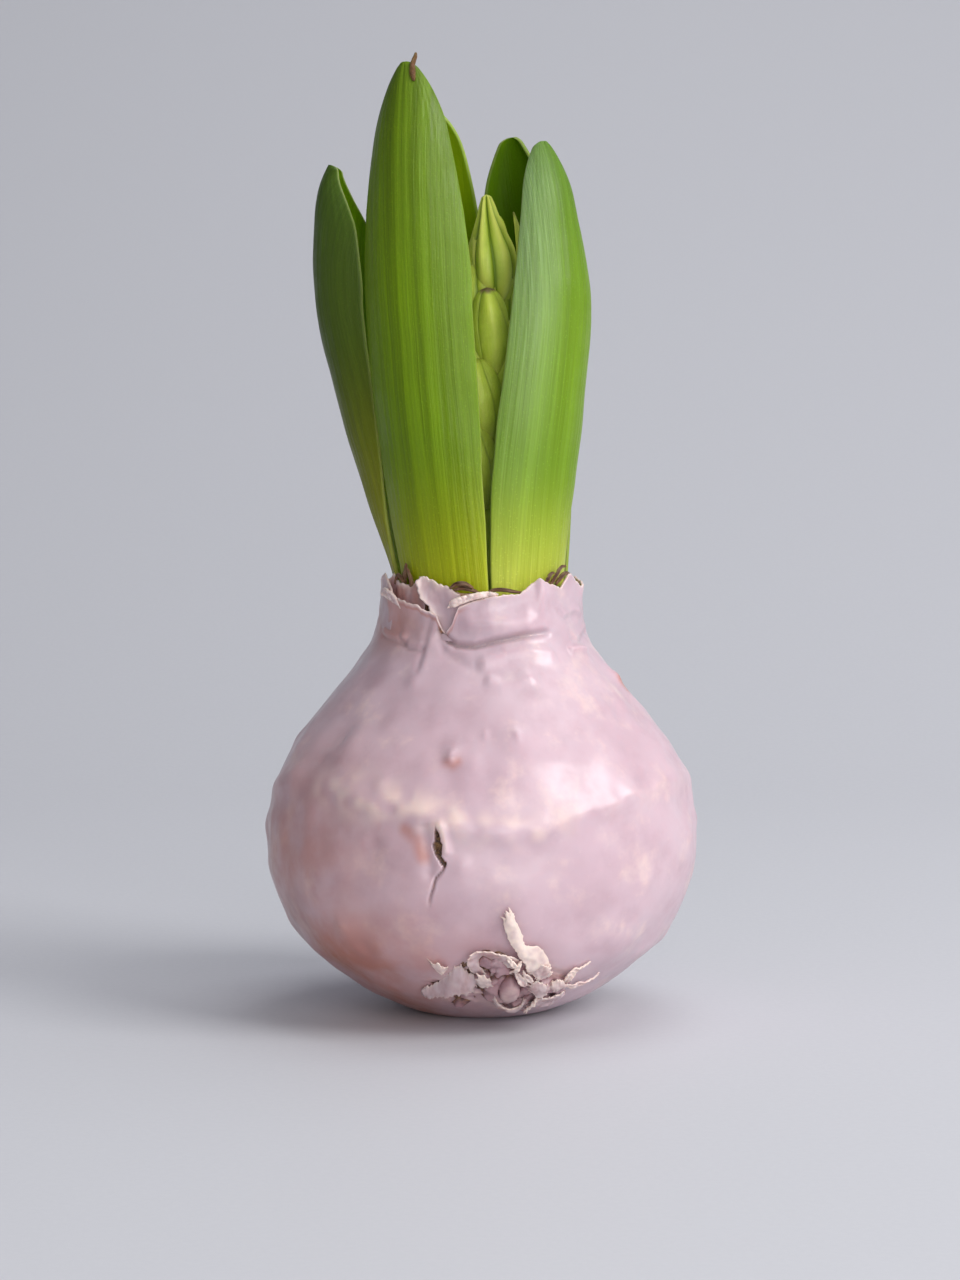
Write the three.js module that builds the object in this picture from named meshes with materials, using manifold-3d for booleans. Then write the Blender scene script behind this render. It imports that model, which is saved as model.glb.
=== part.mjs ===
// A hyacinth bulb dipped in wax, with five leaves and a flower spike still in bud.
// Millimetres, +Z up. The origin is the middle of the flat spot that the bulb stands on.
// An azimuth is counted in degrees round +Z from the front, which is -Y, and is positive towards +X.
import * as THREE from "three";
import Module from "manifold-3d";

// Driving dimensions of the bulb and its wax.
const BULB_DIAMETER = 70;
const NECK_START = 58;
const NECK_RADIUS = 16.3;
const NECK_FLARE = 2.6;
const NECK_FLARE_HEIGHT = 3;
const WAX_THICKNESS = 1.3;
const NECK_WAX_THICKNESS = 0.75;
const CLEARANCE = 0.3;

// The triangles of the flat spot meet here, off its middle, so that the origin lies inside one of them.
const FOOT_FAN = new THREE.Vector3(4, 1.5, 0);

// Driving dimensions of the neck.
const WELL_RADIUS = 14.4;
const WELL_FLOOR = 54;
const TUNIC_RADIUS = 15.27;
const TUNIC_START = 60.2;
const COLLAR_FOOT = 60.8;
const COLLAR_RADIUS = 15.62;
const COLLAR_THICKNESS = 0.5;

// Numbers of steps in the faceted surfaces.
const COAT_COLUMNS = 60;
const COAT_BODY_ROWS = 16;
const COAT_NECK_ROWS = 4;
const INNER_ROWS = 11;
const BULB_COLUMNS = 48;
const COLLAR_ACROSS = 15;
const COLLAR_ALONG = 3;
const LEAF_ACROSS = 8;
const LEAF_ALONG = 20;
const RIBBON_STEPS = 4;

// The wax outline from the flat spot to the neck: radius over half the diameter, height over the diameter.
const WAX_OUTLINE = [
  [0.3, 0],
  [0.4, 0.016],
  [0.571, 0.057],
  [0.746, 0.12],
  [0.883, 0.191],
  [0.977, 0.3],
  [1, 0.4],
  [0.963, 0.526],
  [0.886, 0.611],
  [0.76, 0.69],
  [0.617, 0.777],
  [0.54, 0.8286],
];

// The torn upper edge of the wax, as azimuth and height.
const WAX_RIM = [
  [-180, 69.4],
  [-168, 68.2],
  [-152, 70.3],
  [-140, 67.6],
  [-124, 69.9],
  [-110, 68.7],
  [-97, 70.6],
  [-84, 69.4],
  [-74, 69.9],
  [-64, 67.4],
  [-52, 67.2],
  [-38, 66.5],
  [-26, 64.9],
  [-22, 62.6],
  [-19, 62.4],
  [-14, 65.8],
  [-7, 67.1],
  [6, 68.1],
  [22, 68.6],
  [33, 70.8],
  [40, 69.9],
  [51, 69],
  [60, 71.4],
  [70, 70],
  [84, 68.6],
  [100, 70.1],
  [114, 68.3],
  [128, 70.6],
  [144, 69],
  [160, 70.4],
  [171, 68.4],
  [180, 69.4],
];

// The upper edge of the inner layer of wax that shows through the tear at the front left.
const COLLAR_RIM = [
  [-80, 68.4],
  [-68, 70.6],
  [-60, 69.2],
  [-52, 67],
  [-44, 70.8],
  [-32, 70.6],
  [-20, 69.2],
  [-6, 68.4],
  [10, 67.6],
];

// The ragged top of the brown papery skin round the neck.
const TUNIC_RIM = [
  [-180, 67.8],
  [-150, 68.8],
  [-120, 67.4],
  [-92, 68.6],
  [-68, 70.2],
  [-52, 67.6],
  [-30, 68.2],
  [-12, 69.6],
  [4, 69],
  [20, 67.6],
  [40, 68],
  [54, 70.6],
  [66, 69.2],
  [90, 67.8],
  [120, 69.2],
  [150, 67.6],
  [180, 67.8],
];

// Knobs and dents in the wax, as azimuth, height, size across and how far they stand out.
const WAX_BUMPS = [
  [-9.5, 45.2, 2.4, 0.7],
  [-9.5, 42.6, 2.6, -0.7],
  [11, 47.4, 2.4, 0.4],
  [62, 59.3, 2, 0.5],
  [80, 54.5, 2.6, 0.7],
  [38, 45, 6, 0.6],
  [62, 41.8, 5, 0.6],
  [-58, 42, 7, -0.6],
  [-34, 52, 6, -0.4],
  [12, 64.6, 3.6, 0.5],
  [-48, 20, 9, 0.6],
  [98, 24, 9, -0.6],
  [140, 40, 8, 0.6],
  [-150, 30, 9, 0.6],
  [178, 47, 7, -0.6],
  [-120, 46, 7, 0.5],
];

// The step that runs round the belly, a rounded ridge whose height rises and falls three times a turn.
const RIDGE_HEIGHT = 33.6;
const RIDGE_RISE = 6;
const RIDGE_LOW_AZIMUTH = 6;
const RIDGE_WIDTH = 2;
const RIDGE_STAND = 0.5;

// The crack in the front of the wax, as azimuth, height and width, from its top down.
const CRACK = [
  [-11.6, 34.4, 0.15],
  [-11.4, 33, 0.8],
  [-10.9, 31.2, 1.5],
  [-10.3, 29.8, 1.1],
  [-9.3, 27.8, 0.2],
];
const CRACK_DEPTH = 4;

// Torn strips of wax, as azimuth, height, lift off the surface and width at each station.
const STRIP_THICKNESS = 0.8;
const WAX_STRIPS = [
  {
    name: "curled sliver that stands up from the root plate",
    stations: [
      [24, 9.6, -0.3, 2.4],
      [19.5, 13.6, 0.6, 3.4],
      [13.4, 15.6, 1.1, 2.6],
      [9.2, 17.6, 1.8, 1.8],
      [6.9, 21.3, 2.6, 1.3],
    ],
  },
  {
    name: "arched flap over the root plate",
    stations: [
      [0.6, 9.6, -0.2, 2],
      [-3.8, 13.8, 0.7, 2.2],
      [3.6, 15.2, 1.3, 2.4],
      [12, 12.6, 0.9, 2.6],
      [15, 8.4, -0.3, 2],
    ],
  },
  {
    name: "flap edge low on the left",
    stations: [
      [-24, 5, -0.3, 1.8],
      [-14, 6.2, 0.6, 2.6],
      [-6, 7.6, 0.8, 2.6],
      [2, 9, -0.3, 2],
    ],
  },
  {
    name: "wisp on the right",
    stations: [
      [28, 8, -0.3, 1.8],
      [33, 9.4, 0.5, 1.6],
      [38.5, 10.9, 0.9, 1.2],
    ],
  },
  {
    name: "scrap on the left",
    stations: [
      [-14.5, 12.4, -0.2, 1.4],
      [-11, 12.2, 0.6, 1.8],
      [-7.5, 11.2, -0.2, 1.6],
    ],
  },
  {
    name: "rolled sliver on the front of the rim",
    stations: [
      [-15, 66.6, -0.1, 1.2],
      [-8, 67.5, 0.2, 1.3],
      [0, 68.1, 0.2, 1.3],
      [8, 68.1, -0.1, 1.2],
    ],
  },
  {
    name: "lip of the torn layer",
    stations: [
      [-57, 66.6, -0.1, 1.5],
      [-44, 65.9, 0.1, 1.7],
      [-31, 65, 0.1, 1.7],
      [-24, 63.2, -0.1, 1.5],
    ],
  },
];

// Knobs of wax on the root plate, as azimuth, height and radius.
const KNOB_LIFT = 0.3;
const KNOB_FLATNESS = 0.8;
const WAX_KNOBS = [
  [10, 7.8, 2.3],
  [19.5, 8.4, 1.9],
  [26.5, 8, 1.6],
  [27, 5, 2],
  [16, 5, 1.8],
  [3, 5.6, 1.7],
  [-5, 5, 1.5],
  [-13, 4.6, 1.4],
  [6, 11.2, 1.6],
];

// Each leaf from its foot in the neck to its tip. keel is the line down the middle of its outer face. section
// gives, at the same stations, the azimuth that the outer face looks to, the width measured round the blade
// before it tapers, and the half angle through which the blade is bent into a channel. The blade tapers from
// the share taperFrom of its stations on, and its tip is the blunter the smaller tipPower is.
const LEAVES = [
  {
    name: "leaf_front_left",
    keel: [
      [-7, -11.2, 54.4],
      [-7.5, -11.6, 68],
      [-9.5, -12.1, 84],
      [-11.5, -12.2, 104],
      [-12.8, -11.2, 124],
      [-12.5, -8.8, 142.4],
      [-10.5, -5.5, 153.4],
    ],
    section: [
      [-36, 17, 39],
      [-36, 18.4, 41],
      [-33, 20.6, 45],
      [-29, 22.5, 52],
      [-27, 22.8, 59],
      [-25, 20, 65],
      [-24, 20, 68],
    ],
    taperFrom: 0.6,
    tipPower: 0.68,
    colour: 0x6f9430,
  },
  {
    name: "leaf_front_right",
    keel: [
      [8.5, -9.1, 54.4],
      [9, -9.5, 68],
      [10, -10.2, 82],
      [11.9, -10.4, 98],
      [13.3, -9.6, 114],
      [12, -7.4, 130],
      [9.9, -4.9, 139.6],
    ],
    section: [
      [44, 15, 36],
      [43, 17.2, 39],
      [40, 19, 45],
      [37, 19.6, 52],
      [35, 18.6, 56],
      [34, 16.2, 60],
      [33, 19, 64],
    ],
    taperFrom: 0.6,
    tipPower: 0.66,
    colour: 0x86a84e,
  },
  {
    name: "leaf_left",
    keel: [
      [-12.6, 4.2, 54.4],
      [-13.2, 4.3, 68],
      [-18.4, 5.8, 82],
      [-23.4, 7, 98],
      [-26.8, 8, 113],
      [-27.1, 8.4, 127],
      [-25.2, 8.4, 136.6],
    ],
    section: [
      [-107, 10, 24],
      [-107, 11, 26],
      [-104, 16, 44],
      [-99, 20.4, 62],
      [-97, 25, 78],
      [-97, 26, 84],
      [-97, 26, 84],
    ],
    taperFrom: 0.6,
    tipPower: 0.6,
    colour: 0x4c6a1c,
  },
  {
    name: "leaf_back_left",
    keel: [
      [-3.9, 12.7, 54.4],
      [-4.1, 13.1, 68],
      [-6, 14.6, 86],
      [-7.4, 15.6, 106],
      [-8.8, 15.4, 124],
      [-9.6, 13.2, 140],
      [-10, 10.8, 147.2],
    ],
    section: [
      [-162, 12.8, 29],
      [-162, 13.6, 31],
      [-161, 16.6, 42],
      [-162, 18.6, 50],
      [-163, 19.6, 56],
      [-163, 19.6, 60],
      [-163, 19, 62],
    ],
    taperFrom: 0.58,
    tipPower: 0.8,
    colour: 0x6f9a22,
  },
  {
    name: "leaf_back_right",
    keel: [
      [10.5, 7.7, 54.4],
      [11.2, 8, 68],
      [11.6, 9.4, 84],
      [10.6, 10.9, 102],
      [8.8, 11.4, 118],
      [6.9, 11, 131],
      [5.1, 9.8, 141.4],
    ],
    section: [
      [125, 15, 33],
      [126, 16, 36],
      [133, 16.4, 43],
      [141, 16.8, 50],
      [148, 18.4, 58],
      [153, 18.4, 64],
      [155, 18.4, 66],
    ],
    taperFrom: 0.6,
    tipPower: 0.62,
    colour: 0x3f6a14,
  },
];
const LEAF_MARGIN = 0.65;
const LEAF_MIDDLE = 1.5;
const LEAF_BASE_SWELL = 1.9;
const LEAF_LAST_STATION = 0.9995;
const LEAF_TIGHTEST_BEND = 1.4;

// The flower spike.
const SPIKE_CENTRE = new THREE.Vector3(1.2, 0.4, 0);
const STEM_FOOT = WELL_FLOOR + CLEARANCE;
const STEM_TOP = 118;
const STEM_RADIUS = 3.4;
const STEM_TOP_RADIUS = 1.6;
const STEM_SIDES = 12;
const BUD_COUNT = 27;
const BUD_TURN = 135;
const FIRST_BUD_AZIMUTH = 4;
const TOP_BUD_APEX = 131.2;
const BUD_DROP = 1.98;
const BUD_DROP_EASE = 0.0225;
const TOP_BUD_LENGTH = 16;
const LOW_BUD_LENGTH = 10.5;
const TOP_BUD_WIDTH = 6.4;
const TOP_BUD_EXTRA_WIDTH = 1.3;
const EXTRA_WIDTH_BUDS = 4;
const LOW_BUD_WIDTH = 5.4;
const BUD_STAND_START = 0.9;
const BUD_STAND_STEP = 0.066;
const BUD_STAND_MAX = 5.1;
const BUD_LEAN = 9;
const BUD_SIDES = 8;
const BUD_ROWS = 5;

const wasm = await Module();
wasm.setup();

const radians = THREE.MathUtils.degToRad;
const smoothstep = THREE.MathUtils.smoothstep;

/** The unit vector that points away from the Z axis at an azimuth. */
function outward(azimuth) {
  return new THREE.Vector3(Math.sin(radians(azimuth)), -Math.cos(radians(azimuth)), 0);
}

/** The point at an azimuth, a radius from the Z axis and a height. */
function aroundAxis(azimuth, radius, height) {
  return outward(azimuth).multiplyScalar(radius).setZ(height);
}

/** Straight-line reading of a list of [position, value] pairs. */
function readTable(pairs, position) {
  const next = pairs.findIndex(([p]) => p >= position);
  if (next <= 0) return next === 0 ? pairs[0][1] : pairs.at(-1)[1];
  const [p0, v0] = pairs[next - 1];
  const [p1, v1] = pairs[next];
  return v0 + ((v1 - v0) * (position - p0)) / (p1 - p0);
}

/** How far round it is from one azimuth to another, from -180 to 180 degrees. */
function turnBetween(from, to) {
  return THREE.MathUtils.euclideanModulo(to - from + 180, 360) - 180;
}

/** A smooth open curve through a list of three-number stations, read by share of the stations. */
function smoothCurve(stations) {
  return new THREE.CatmullRomCurve3(
    stations.map((p) => new THREE.Vector3(...p)),
    false,
    "catmullrom",
  );
}

/** Indexed geometry from a list of Vector3 and a list of triangle corners. */
function geometryOf(points, corners) {
  const geometry = new THREE.BufferGeometry();
  geometry.setAttribute("position", new THREE.Float32BufferAttribute(points.flatMap((p) => p.toArray()), 3));
  geometry.setIndex(corners);
  return geometry;
}

/** A closed surface of rings, from a first pole, through rings of points counted round +Z, to a last pole. */
function ringSurface(firstPole, rings, lastPole) {
  const columns = rings[0].length;
  const points = [firstPole, ...rings.flat(), lastPole];
  const corners = [];
  const at = (row, column) => 1 + row * columns + (column % columns);
  for (let c = 0; c < columns; c += 1) {
    corners.push(0, at(0, c + 1), at(0, c));
    for (let r = 0; r < rings.length - 1; r += 1) {
      corners.push(at(r, c), at(r, c + 1), at(r + 1, c + 1));
      corners.push(at(r, c), at(r + 1, c + 1), at(r + 1, c));
    }
    corners.push(points.length - 1, at(rings.length - 1, c), at(rings.length - 1, c + 1));
  }
  return geometryOf(points, corners);
}

/** A closed thick sheet. facePoint(i, j, side) gives its outer face for side 0, its inner face for side 1. */
function thickSheet(across, along, facePoint) {
  const points = [];
  for (const side of [0, 1]) {
    for (let j = 0; j <= along; j += 1) {
      for (let i = 0; i <= across; i += 1) points.push(facePoint(i, j, side));
    }
  }
  const at = (side, i, j) => side * (across + 1) * (along + 1) + j * (across + 1) + i;
  const corners = [];
  const quad = (a, b, c, d) => corners.push(a, b, c, a, c, d);
  for (let j = 0; j < along; j += 1) {
    for (let i = 0; i < across; i += 1) {
      quad(at(0, i, j), at(0, i + 1, j), at(0, i + 1, j + 1), at(0, i, j + 1));
      corners.push(at(1, i, j), at(1, i + 1, j + 1), at(1, i + 1, j));
      corners.push(at(1, i, j), at(1, i, j + 1), at(1, i + 1, j + 1));
    }
    quad(at(0, 0, j + 1), at(1, 0, j + 1), at(1, 0, j), at(0, 0, j));
    quad(at(0, across, j), at(1, across, j), at(1, across, j + 1), at(0, across, j + 1));
  }
  for (let i = 0; i < across; i += 1) {
    quad(at(0, i, 0), at(1, i, 0), at(1, i + 1, 0), at(0, i + 1, 0));
    quad(at(0, i + 1, along), at(1, i + 1, along), at(1, i, along), at(0, i, along));
  }
  return geometryOf(points, corners);
}

/** An indexed closed geometry as a solid, turned round if its faces point inwards. */
function solidOf(geometry) {
  const index = [...geometry.index.array];
  const build = (corners) =>
    new wasm.Manifold(
      new wasm.Mesh({
        numProp: 3,
        vertProperties: new Float32Array(geometry.attributes.position.array),
        triVerts: new Uint32Array(corners),
      }),
    );
  const solid = build(index);
  if (solid.volume() > 0) return solid;
  return build(index.map((_, k) => index[k - (k % 3) + [0, 2, 1][k % 3]]));
}

/** Several closed geometries joined into one solid. */
function joined(geometries) {
  return geometries.map(solidOf).reduce((all, next) => all.add(next));
}

/** The geometry of the largest body of a solid, so a loose scrap is dropped and a sealed hollow is filled. */
function geometryFrom(solid) {
  const body = solid.decompose().reduce((a, b) => (b.volume() > a.volume() ? b : a));
  const mesh = body.getMesh();
  const geometry = new THREE.BufferGeometry();
  geometry.setAttribute("position", new THREE.BufferAttribute(mesh.vertProperties, 3));
  geometry.setIndex(new THREE.BufferAttribute(mesh.triVerts, 1));
  return geometry;
}

const waxOutline = new THREE.SplineCurve(
  WAX_OUTLINE.map(([r, z]) => new THREE.Vector2((r * BULB_DIAMETER) / 2, z * BULB_DIAMETER)),
);
const waxStations = waxOutline.getSpacedPoints(200).map((p) => [p.y, p.x]);

/** The plain radius of the wax at a height, before its lumps. */
function plainWaxRadius(height) {
  if (height < NECK_START) return readTable(waxStations, height);
  return NECK_RADIUS + NECK_FLARE * Math.exp(-(height - NECK_START) / NECK_FLARE_HEIGHT);
}

/** How far the wax stands out of its plain outline: long waves, a ridge round the belly, knobs and dents. */
function waxLump(azimuth, height) {
  const a = radians(azimuth);
  const waves =
    0.28 * Math.sin(3 * a + 0.9 + height / 11) +
    0.2 * Math.sin(5 * a - height / 8) +
    0.16 * Math.sin(2 * a + height / 5);
  const ridgeAt = RIDGE_HEIGHT + RIDGE_RISE * Math.sin(radians(1.5 * (azimuth - RIDGE_LOW_AZIMUTH))) ** 2;
  let lump = waves + RIDGE_STAND * Math.exp(-(((height - ridgeAt) / RIDGE_WIDTH) ** 2));
  for (const [bumpAzimuth, bumpHeight, size, stand] of WAX_BUMPS) {
    const aside = radians(turnBetween(bumpAzimuth, azimuth)) * plainWaxRadius(bumpHeight);
    lump += stand * Math.exp(-(aside ** 2 + (height - bumpHeight) ** 2) / size ** 2);
  }
  const fadeAtFoot = smoothstep(height, 0.5, 9);
  const fadeAtRim = 1 - smoothstep(height, 60, 68);
  return lump * fadeAtFoot * fadeAtRim;
}

/** The point of the wax's outer face at an azimuth and a height. */
function onWax(azimuth, height) {
  return aroundAxis(azimuth, plainWaxRadius(height) + waxLump(azimuth, height), height);
}

/** The unit normal of the wax's plain outline at an azimuth and a height. */
function waxNormal(azimuth, height) {
  const slope = plainWaxRadius(height + 0.5) - plainWaxRadius(height - 0.5);
  return outward(azimuth).setZ(-slope).normalize();
}

/** The thickness of the wax, which thins towards the neck. */
function waxThickness(height) {
  return THREE.MathUtils.lerp(WAX_THICKNESS, NECK_WAX_THICKNESS, smoothstep(height, 44, 62));
}

/** The outline of the inside of the wax, or of a surface that lies deeper inside it. */
function insetOutline(deeper) {
  return Array.from({ length: INNER_ROWS + 1 }, (_, row) => {
    const point = waxOutline.getPointAt(row / INNER_ROWS);
    const tangent = waxOutline.getTangentAt(row / INNER_ROWS);
    const depth = waxThickness(point.y) + deeper;
    return new THREE.Vector2(point.x - depth * tangent.y, point.y + depth * tangent.x);
  });
}

/** Azimuths of evenly spaced columns. */
function columnAzimuths(count) {
  return Array.from({ length: count }, (_, c) => (360 * c) / count - 180);
}

/** A ring with one point for each azimuth. */
function ring(azimuths, radiusAt, heightAt) {
  return azimuths.map((a) => {
    const height = heightAt(a);
    return aroundAxis(a, radiusAt(a, height), height);
  });
}

/** The wax shell: out along its foot, up its lumpy side to the torn rim, and down its smooth inside. */
function waxShell() {
  const azimuths = columnAzimuths(COAT_COLUMNS);
  const rim = (a) => readTable(WAX_RIM, a);
  const outside = (a, height) => plainWaxRadius(height) + waxLump(a, height);
  const inside = (a, height) => plainWaxRadius(height) - waxThickness(height);
  const rings = waxOutline
    .getSpacedPoints(COAT_BODY_ROWS)
    .map((p) => ring(azimuths, (a) => p.x + waxLump(a, p.y), () => p.y));
  for (let r = 1; r <= COAT_NECK_ROWS; r += 1) {
    rings.push(ring(azimuths, outside, (a) => NECK_START + ((rim(a) - NECK_START) * r) / COAT_NECK_ROWS));
  }
  rings.push(ring(azimuths, inside, (a) => rim(a) - 0.15));
  rings.push(ring(azimuths, inside, (a) => (rim(a) + NECK_START) / 2));
  for (const p of insetOutline(0).reverse()) rings.push(ring(azimuths, () => p.x, () => p.y));
  return ringSurface(FOOT_FAN, rings, new THREE.Vector3(0, 0, WAX_THICKNESS));
}

/** The inner layer of wax behind the tear at the front left of the neck. */
function collarLayer() {
  const first = COLLAR_RIM[0][0];
  const last = COLLAR_RIM.at(-1)[0];
  return thickSheet(COLLAR_ACROSS, COLLAR_ALONG, (i, j, side) => {
    const azimuth = first + ((last - first) * i) / COLLAR_ACROSS;
    const height = COLLAR_FOOT + ((readTable(COLLAR_RIM, azimuth) - COLLAR_FOOT) * j) / COLLAR_ALONG;
    return aroundAxis(azimuth, COLLAR_RADIUS + (side === 0 ? COLLAR_THICKNESS : 0), height);
  });
}

/** A torn strip of wax that runs along the surface and lifts off it. */
function waxStrip({ stations }) {
  const lifted = ([a, z, lift]) => onWax(a, z).addScaledVector(waxNormal(a, z), lift).toArray();
  const middle = smoothCurve(stations.map(lifted));
  const facing = smoothCurve(stations.map(([a, z, , width]) => [a, z, width]));
  const along = RIBBON_STEPS * (stations.length - 1);
  return thickSheet(1, along, (i, j, side) => {
    const t = j / along;
    const { x: azimuth, y: height, z: width } = facing.getPoint(t);
    const normal = waxNormal(azimuth, height);
    const sideways = new THREE.Vector3().crossVectors(middle.getTangent(t), normal).normalize();
    return middle
      .getPoint(t)
      .addScaledVector(sideways, (i - 0.5) * width)
      .addScaledVector(normal, (0.5 - side) * STRIP_THICKNESS);
  });
}

/** A squashed round knob of wax, a little more than half out of the surface. */
function waxKnob([azimuth, height, radius]) {
  const knob = new THREE.IcosahedronGeometry(radius, 1);
  const normal = waxNormal(azimuth, height);
  const turn = new THREE.Quaternion().setFromUnitVectors(new THREE.Vector3(0, 0, 1), normal);
  knob.scale(1.1, 1, KNOB_FLATNESS).applyQuaternion(turn);
  const centre = onWax(azimuth, height).addScaledVector(normal, KNOB_LIFT * radius);
  knob.translate(centre.x, centre.y, centre.z);
  return welded(knob);
}

/** A loose-triangle geometry with the corners that lie on each other made one. */
function welded(geometry) {
  const position = geometry.attributes.position;
  const known = new Map();
  const points = [];
  const corners = [];
  for (let k = 0; k < position.count; k += 1) {
    const point = new THREE.Vector3().fromBufferAttribute(position, k);
    const key = point.toArray().map((v) => v.toFixed(4)).join();
    if (!known.has(key)) {
      known.set(key, points.length);
      points.push(point);
    }
    corners.push(known.get(key));
  }
  return geometryOf(points, corners);
}

/** The wedge that opens the crack, cut right through the wax. */
function crackWedge() {
  return thickSheet(1, CRACK.length - 1, (i, j, side) => {
    const [azimuth, height, width] = CRACK[j];
    const radius = plainWaxRadius(height) + (side === 0 ? 2 : 2 - CRACK_DEPTH);
    const aside = THREE.MathUtils.radToDeg(width / radius) * (i - 0.5);
    return aroundAxis(azimuth + aside, radius, height);
  });
}

/** The whole wax coat. */
function waxCoat() {
  const wax = joined([waxShell(), collarLayer(), ...WAX_STRIPS.map(waxStrip), ...WAX_KNOBS.map(waxKnob)]);
  return geometryFrom(wax.subtract(solidOf(crackWedge())));
}

/** The bulb inside the wax, with its papery neck and the well that holds the leaves and the spike. */
function bulb() {
  const azimuths = columnAzimuths(BULB_COLUMNS);
  const tunic = (a) => readTable(TUNIC_RIM, a);
  const rings = insetOutline(CLEARANCE).map((p) => ring(azimuths, () => p.x, () => p.y));
  rings.push(ring(azimuths, () => TUNIC_RADIUS, () => TUNIC_START));
  rings.push(ring(azimuths, () => TUNIC_RADIUS, tunic));
  rings.push(ring(azimuths, () => WELL_RADIUS, (a) => tunic(a) - 0.4));
  rings.push(ring(azimuths, () => WELL_RADIUS, () => WELL_FLOOR));
  const foot = new THREE.Vector3(0, 0, WAX_THICKNESS + CLEARANCE);
  return ringSurface(foot, rings, new THREE.Vector3(0, 0, WELL_FLOOR));
}

/** A fleshy leaf: a channelled blade, thick down its middle and thin at its margins, with a hooded tip. */
function leafBlade({ keel, section, taperFrom, tipPower }) {
  const keelCurve = smoothCurve(keel);
  const sectionCurve = smoothCurve(section);
  return thickSheet(LEAF_ACROSS, LEAF_ALONG, (i, j, side) => {
    const t = LEAF_LAST_STATION * (1 - (1 - j / LEAF_ALONG) ** 1.6);
    const { x: azimuth, y: fullWidth, z: fullBend } = sectionCurve.getPoint(t);
    const taper = Math.max(t - taperFrom, 0) / (1 - taperFrom);
    const width = fullWidth * (1 - taper ** 2) ** tipPower;
    const radius = Math.max(width / 2 / radians(fullBend), LEAF_TIGHTEST_BEND);
    const along = keelCurve.getTangent(t);
    const facing = outward(azimuth).addScaledVector(along, -outward(azimuth).dot(along)).normalize();
    const sideways = new THREE.Vector3().crossVectors(along, facing);
    const across = (2 * i) / LEAF_ACROSS - 1;
    const bend = (across * width) / 2 / radius;
    const middle = LEAF_MIDDLE * (1 + (LEAF_BASE_SWELL - 1) * (1 - t) ** 3);
    const thickness = LEAF_MARGIN + (middle - LEAF_MARGIN) * (1 - across ** 2) * (1 - taper ** 3);
    const reach = radius - side * thickness;
    return keelCurve
      .getPoint(t)
      .addScaledVector(facing, reach * Math.cos(bend) - radius)
      .addScaledVector(sideways, reach * Math.sin(bend));
  });
}

/** The stem, a tapered round rod. */
function stem() {
  const height = STEM_TOP - STEM_FOOT;
  const rod = new THREE.CylinderGeometry(STEM_TOP_RADIUS, STEM_RADIUS, height, STEM_SIDES, 2);
  rod.rotateX(Math.PI / 2).translate(SPIKE_CENTRE.x, SPIKE_CENTRE.y, STEM_FOOT + height / 2);
  return welded(rod.toNonIndexed());
}

/** One closed bud: a spindle, fullest below its middle, that ends in a blunt point. */
function bud(index) {
  const azimuth = FIRST_BUD_AZIMUTH + BUD_TURN * index;
  const age = index / (BUD_COUNT - 1);
  const length = THREE.MathUtils.lerp(TOP_BUD_LENGTH, LOW_BUD_LENGTH, age);
  const extraWidth = TOP_BUD_EXTRA_WIDTH * Math.max(1 - index / EXTRA_WIDTH_BUDS, 0);
  const width = THREE.MathUtils.lerp(TOP_BUD_WIDTH, LOW_BUD_WIDTH, age) + extraWidth;
  const stand = Math.min(BUD_STAND_START + BUD_STAND_STEP * index ** 2, BUD_STAND_MAX);
  const lean = BUD_LEAN * (stand / BUD_STAND_MAX);
  const apexHeight = TOP_BUD_APEX - BUD_DROP * index + BUD_DROP_EASE * index ** 2;
  const axis = outward(azimuth).multiplyScalar(Math.sin(radians(lean))).setZ(Math.cos(radians(lean)));
  const apex = SPIKE_CENTRE.clone().addScaledVector(outward(azimuth), stand).setZ(apexHeight);
  const side = new THREE.Vector3().crossVectors(axis, outward(azimuth)).normalize();
  const front = new THREE.Vector3().crossVectors(side, axis);
  const rings = Array.from({ length: BUD_ROWS }, (_, row) => {
    const u = (row + 0.6) / (BUD_ROWS + 0.2);
    const radius = (width / 2) * Math.sin(Math.PI * u ** 0.8) ** 0.7;
    return Array.from({ length: BUD_SIDES }, (_, k) => {
      const turn = (2 * Math.PI * k) / BUD_SIDES;
      return apex
        .clone()
        .addScaledVector(axis, -length * (1 - u))
        .addScaledVector(side, radius * Math.cos(turn))
        .addScaledVector(front, radius * Math.sin(turn));
    });
  });
  return ringSurface(apex.clone().addScaledVector(axis, -length), rings, apex);
}

/** The whole flower spike. */
function flowerSpike() {
  const buds = Array.from({ length: BUD_COUNT }, (_, index) => bud(index));
  return geometryFrom(joined([stem(), ...buds]));
}

/** A named mesh with its own material. */
function piece(name, geometry, colour, roughness) {
  geometry.computeVertexNormals();
  const finish = { color: colour, roughness, metalness: 0, flatShading: true };
  const mesh = new THREE.Mesh(geometry, new THREE.MeshStandardMaterial(finish));
  mesh.name = name;
  return mesh;
}

const group = new THREE.Group();
group.add(piece("wax_coat", waxCoat(), 0xd9bdc6, 0.35));
group.add(piece("bulb", bulb(), 0x75503f, 0.8));
for (const leaf of LEAVES) {
  const blade = geometryFrom(solidOf(leafBlade(leaf)));
  group.add(piece(leaf.name, blade, leaf.colour, 0.45));
}
group.add(piece("flower_spike", flowerSpike(), 0xa9c04b, 0.5));

export default group;
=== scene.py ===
"""A waxed hyacinth bulb in bud: wax coat, papery skin, leaves and flower spike, finely modelled.

Lengths are millimetres until a mesh is made, and azimuths are degrees round +Z from the front, -Y, positive
towards +X. Every surface is a function of two parameters on a grid.
"""

import logging
import math
from dataclasses import dataclass
from enum import Enum
from typing import Callable, Optional, Sequence

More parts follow.
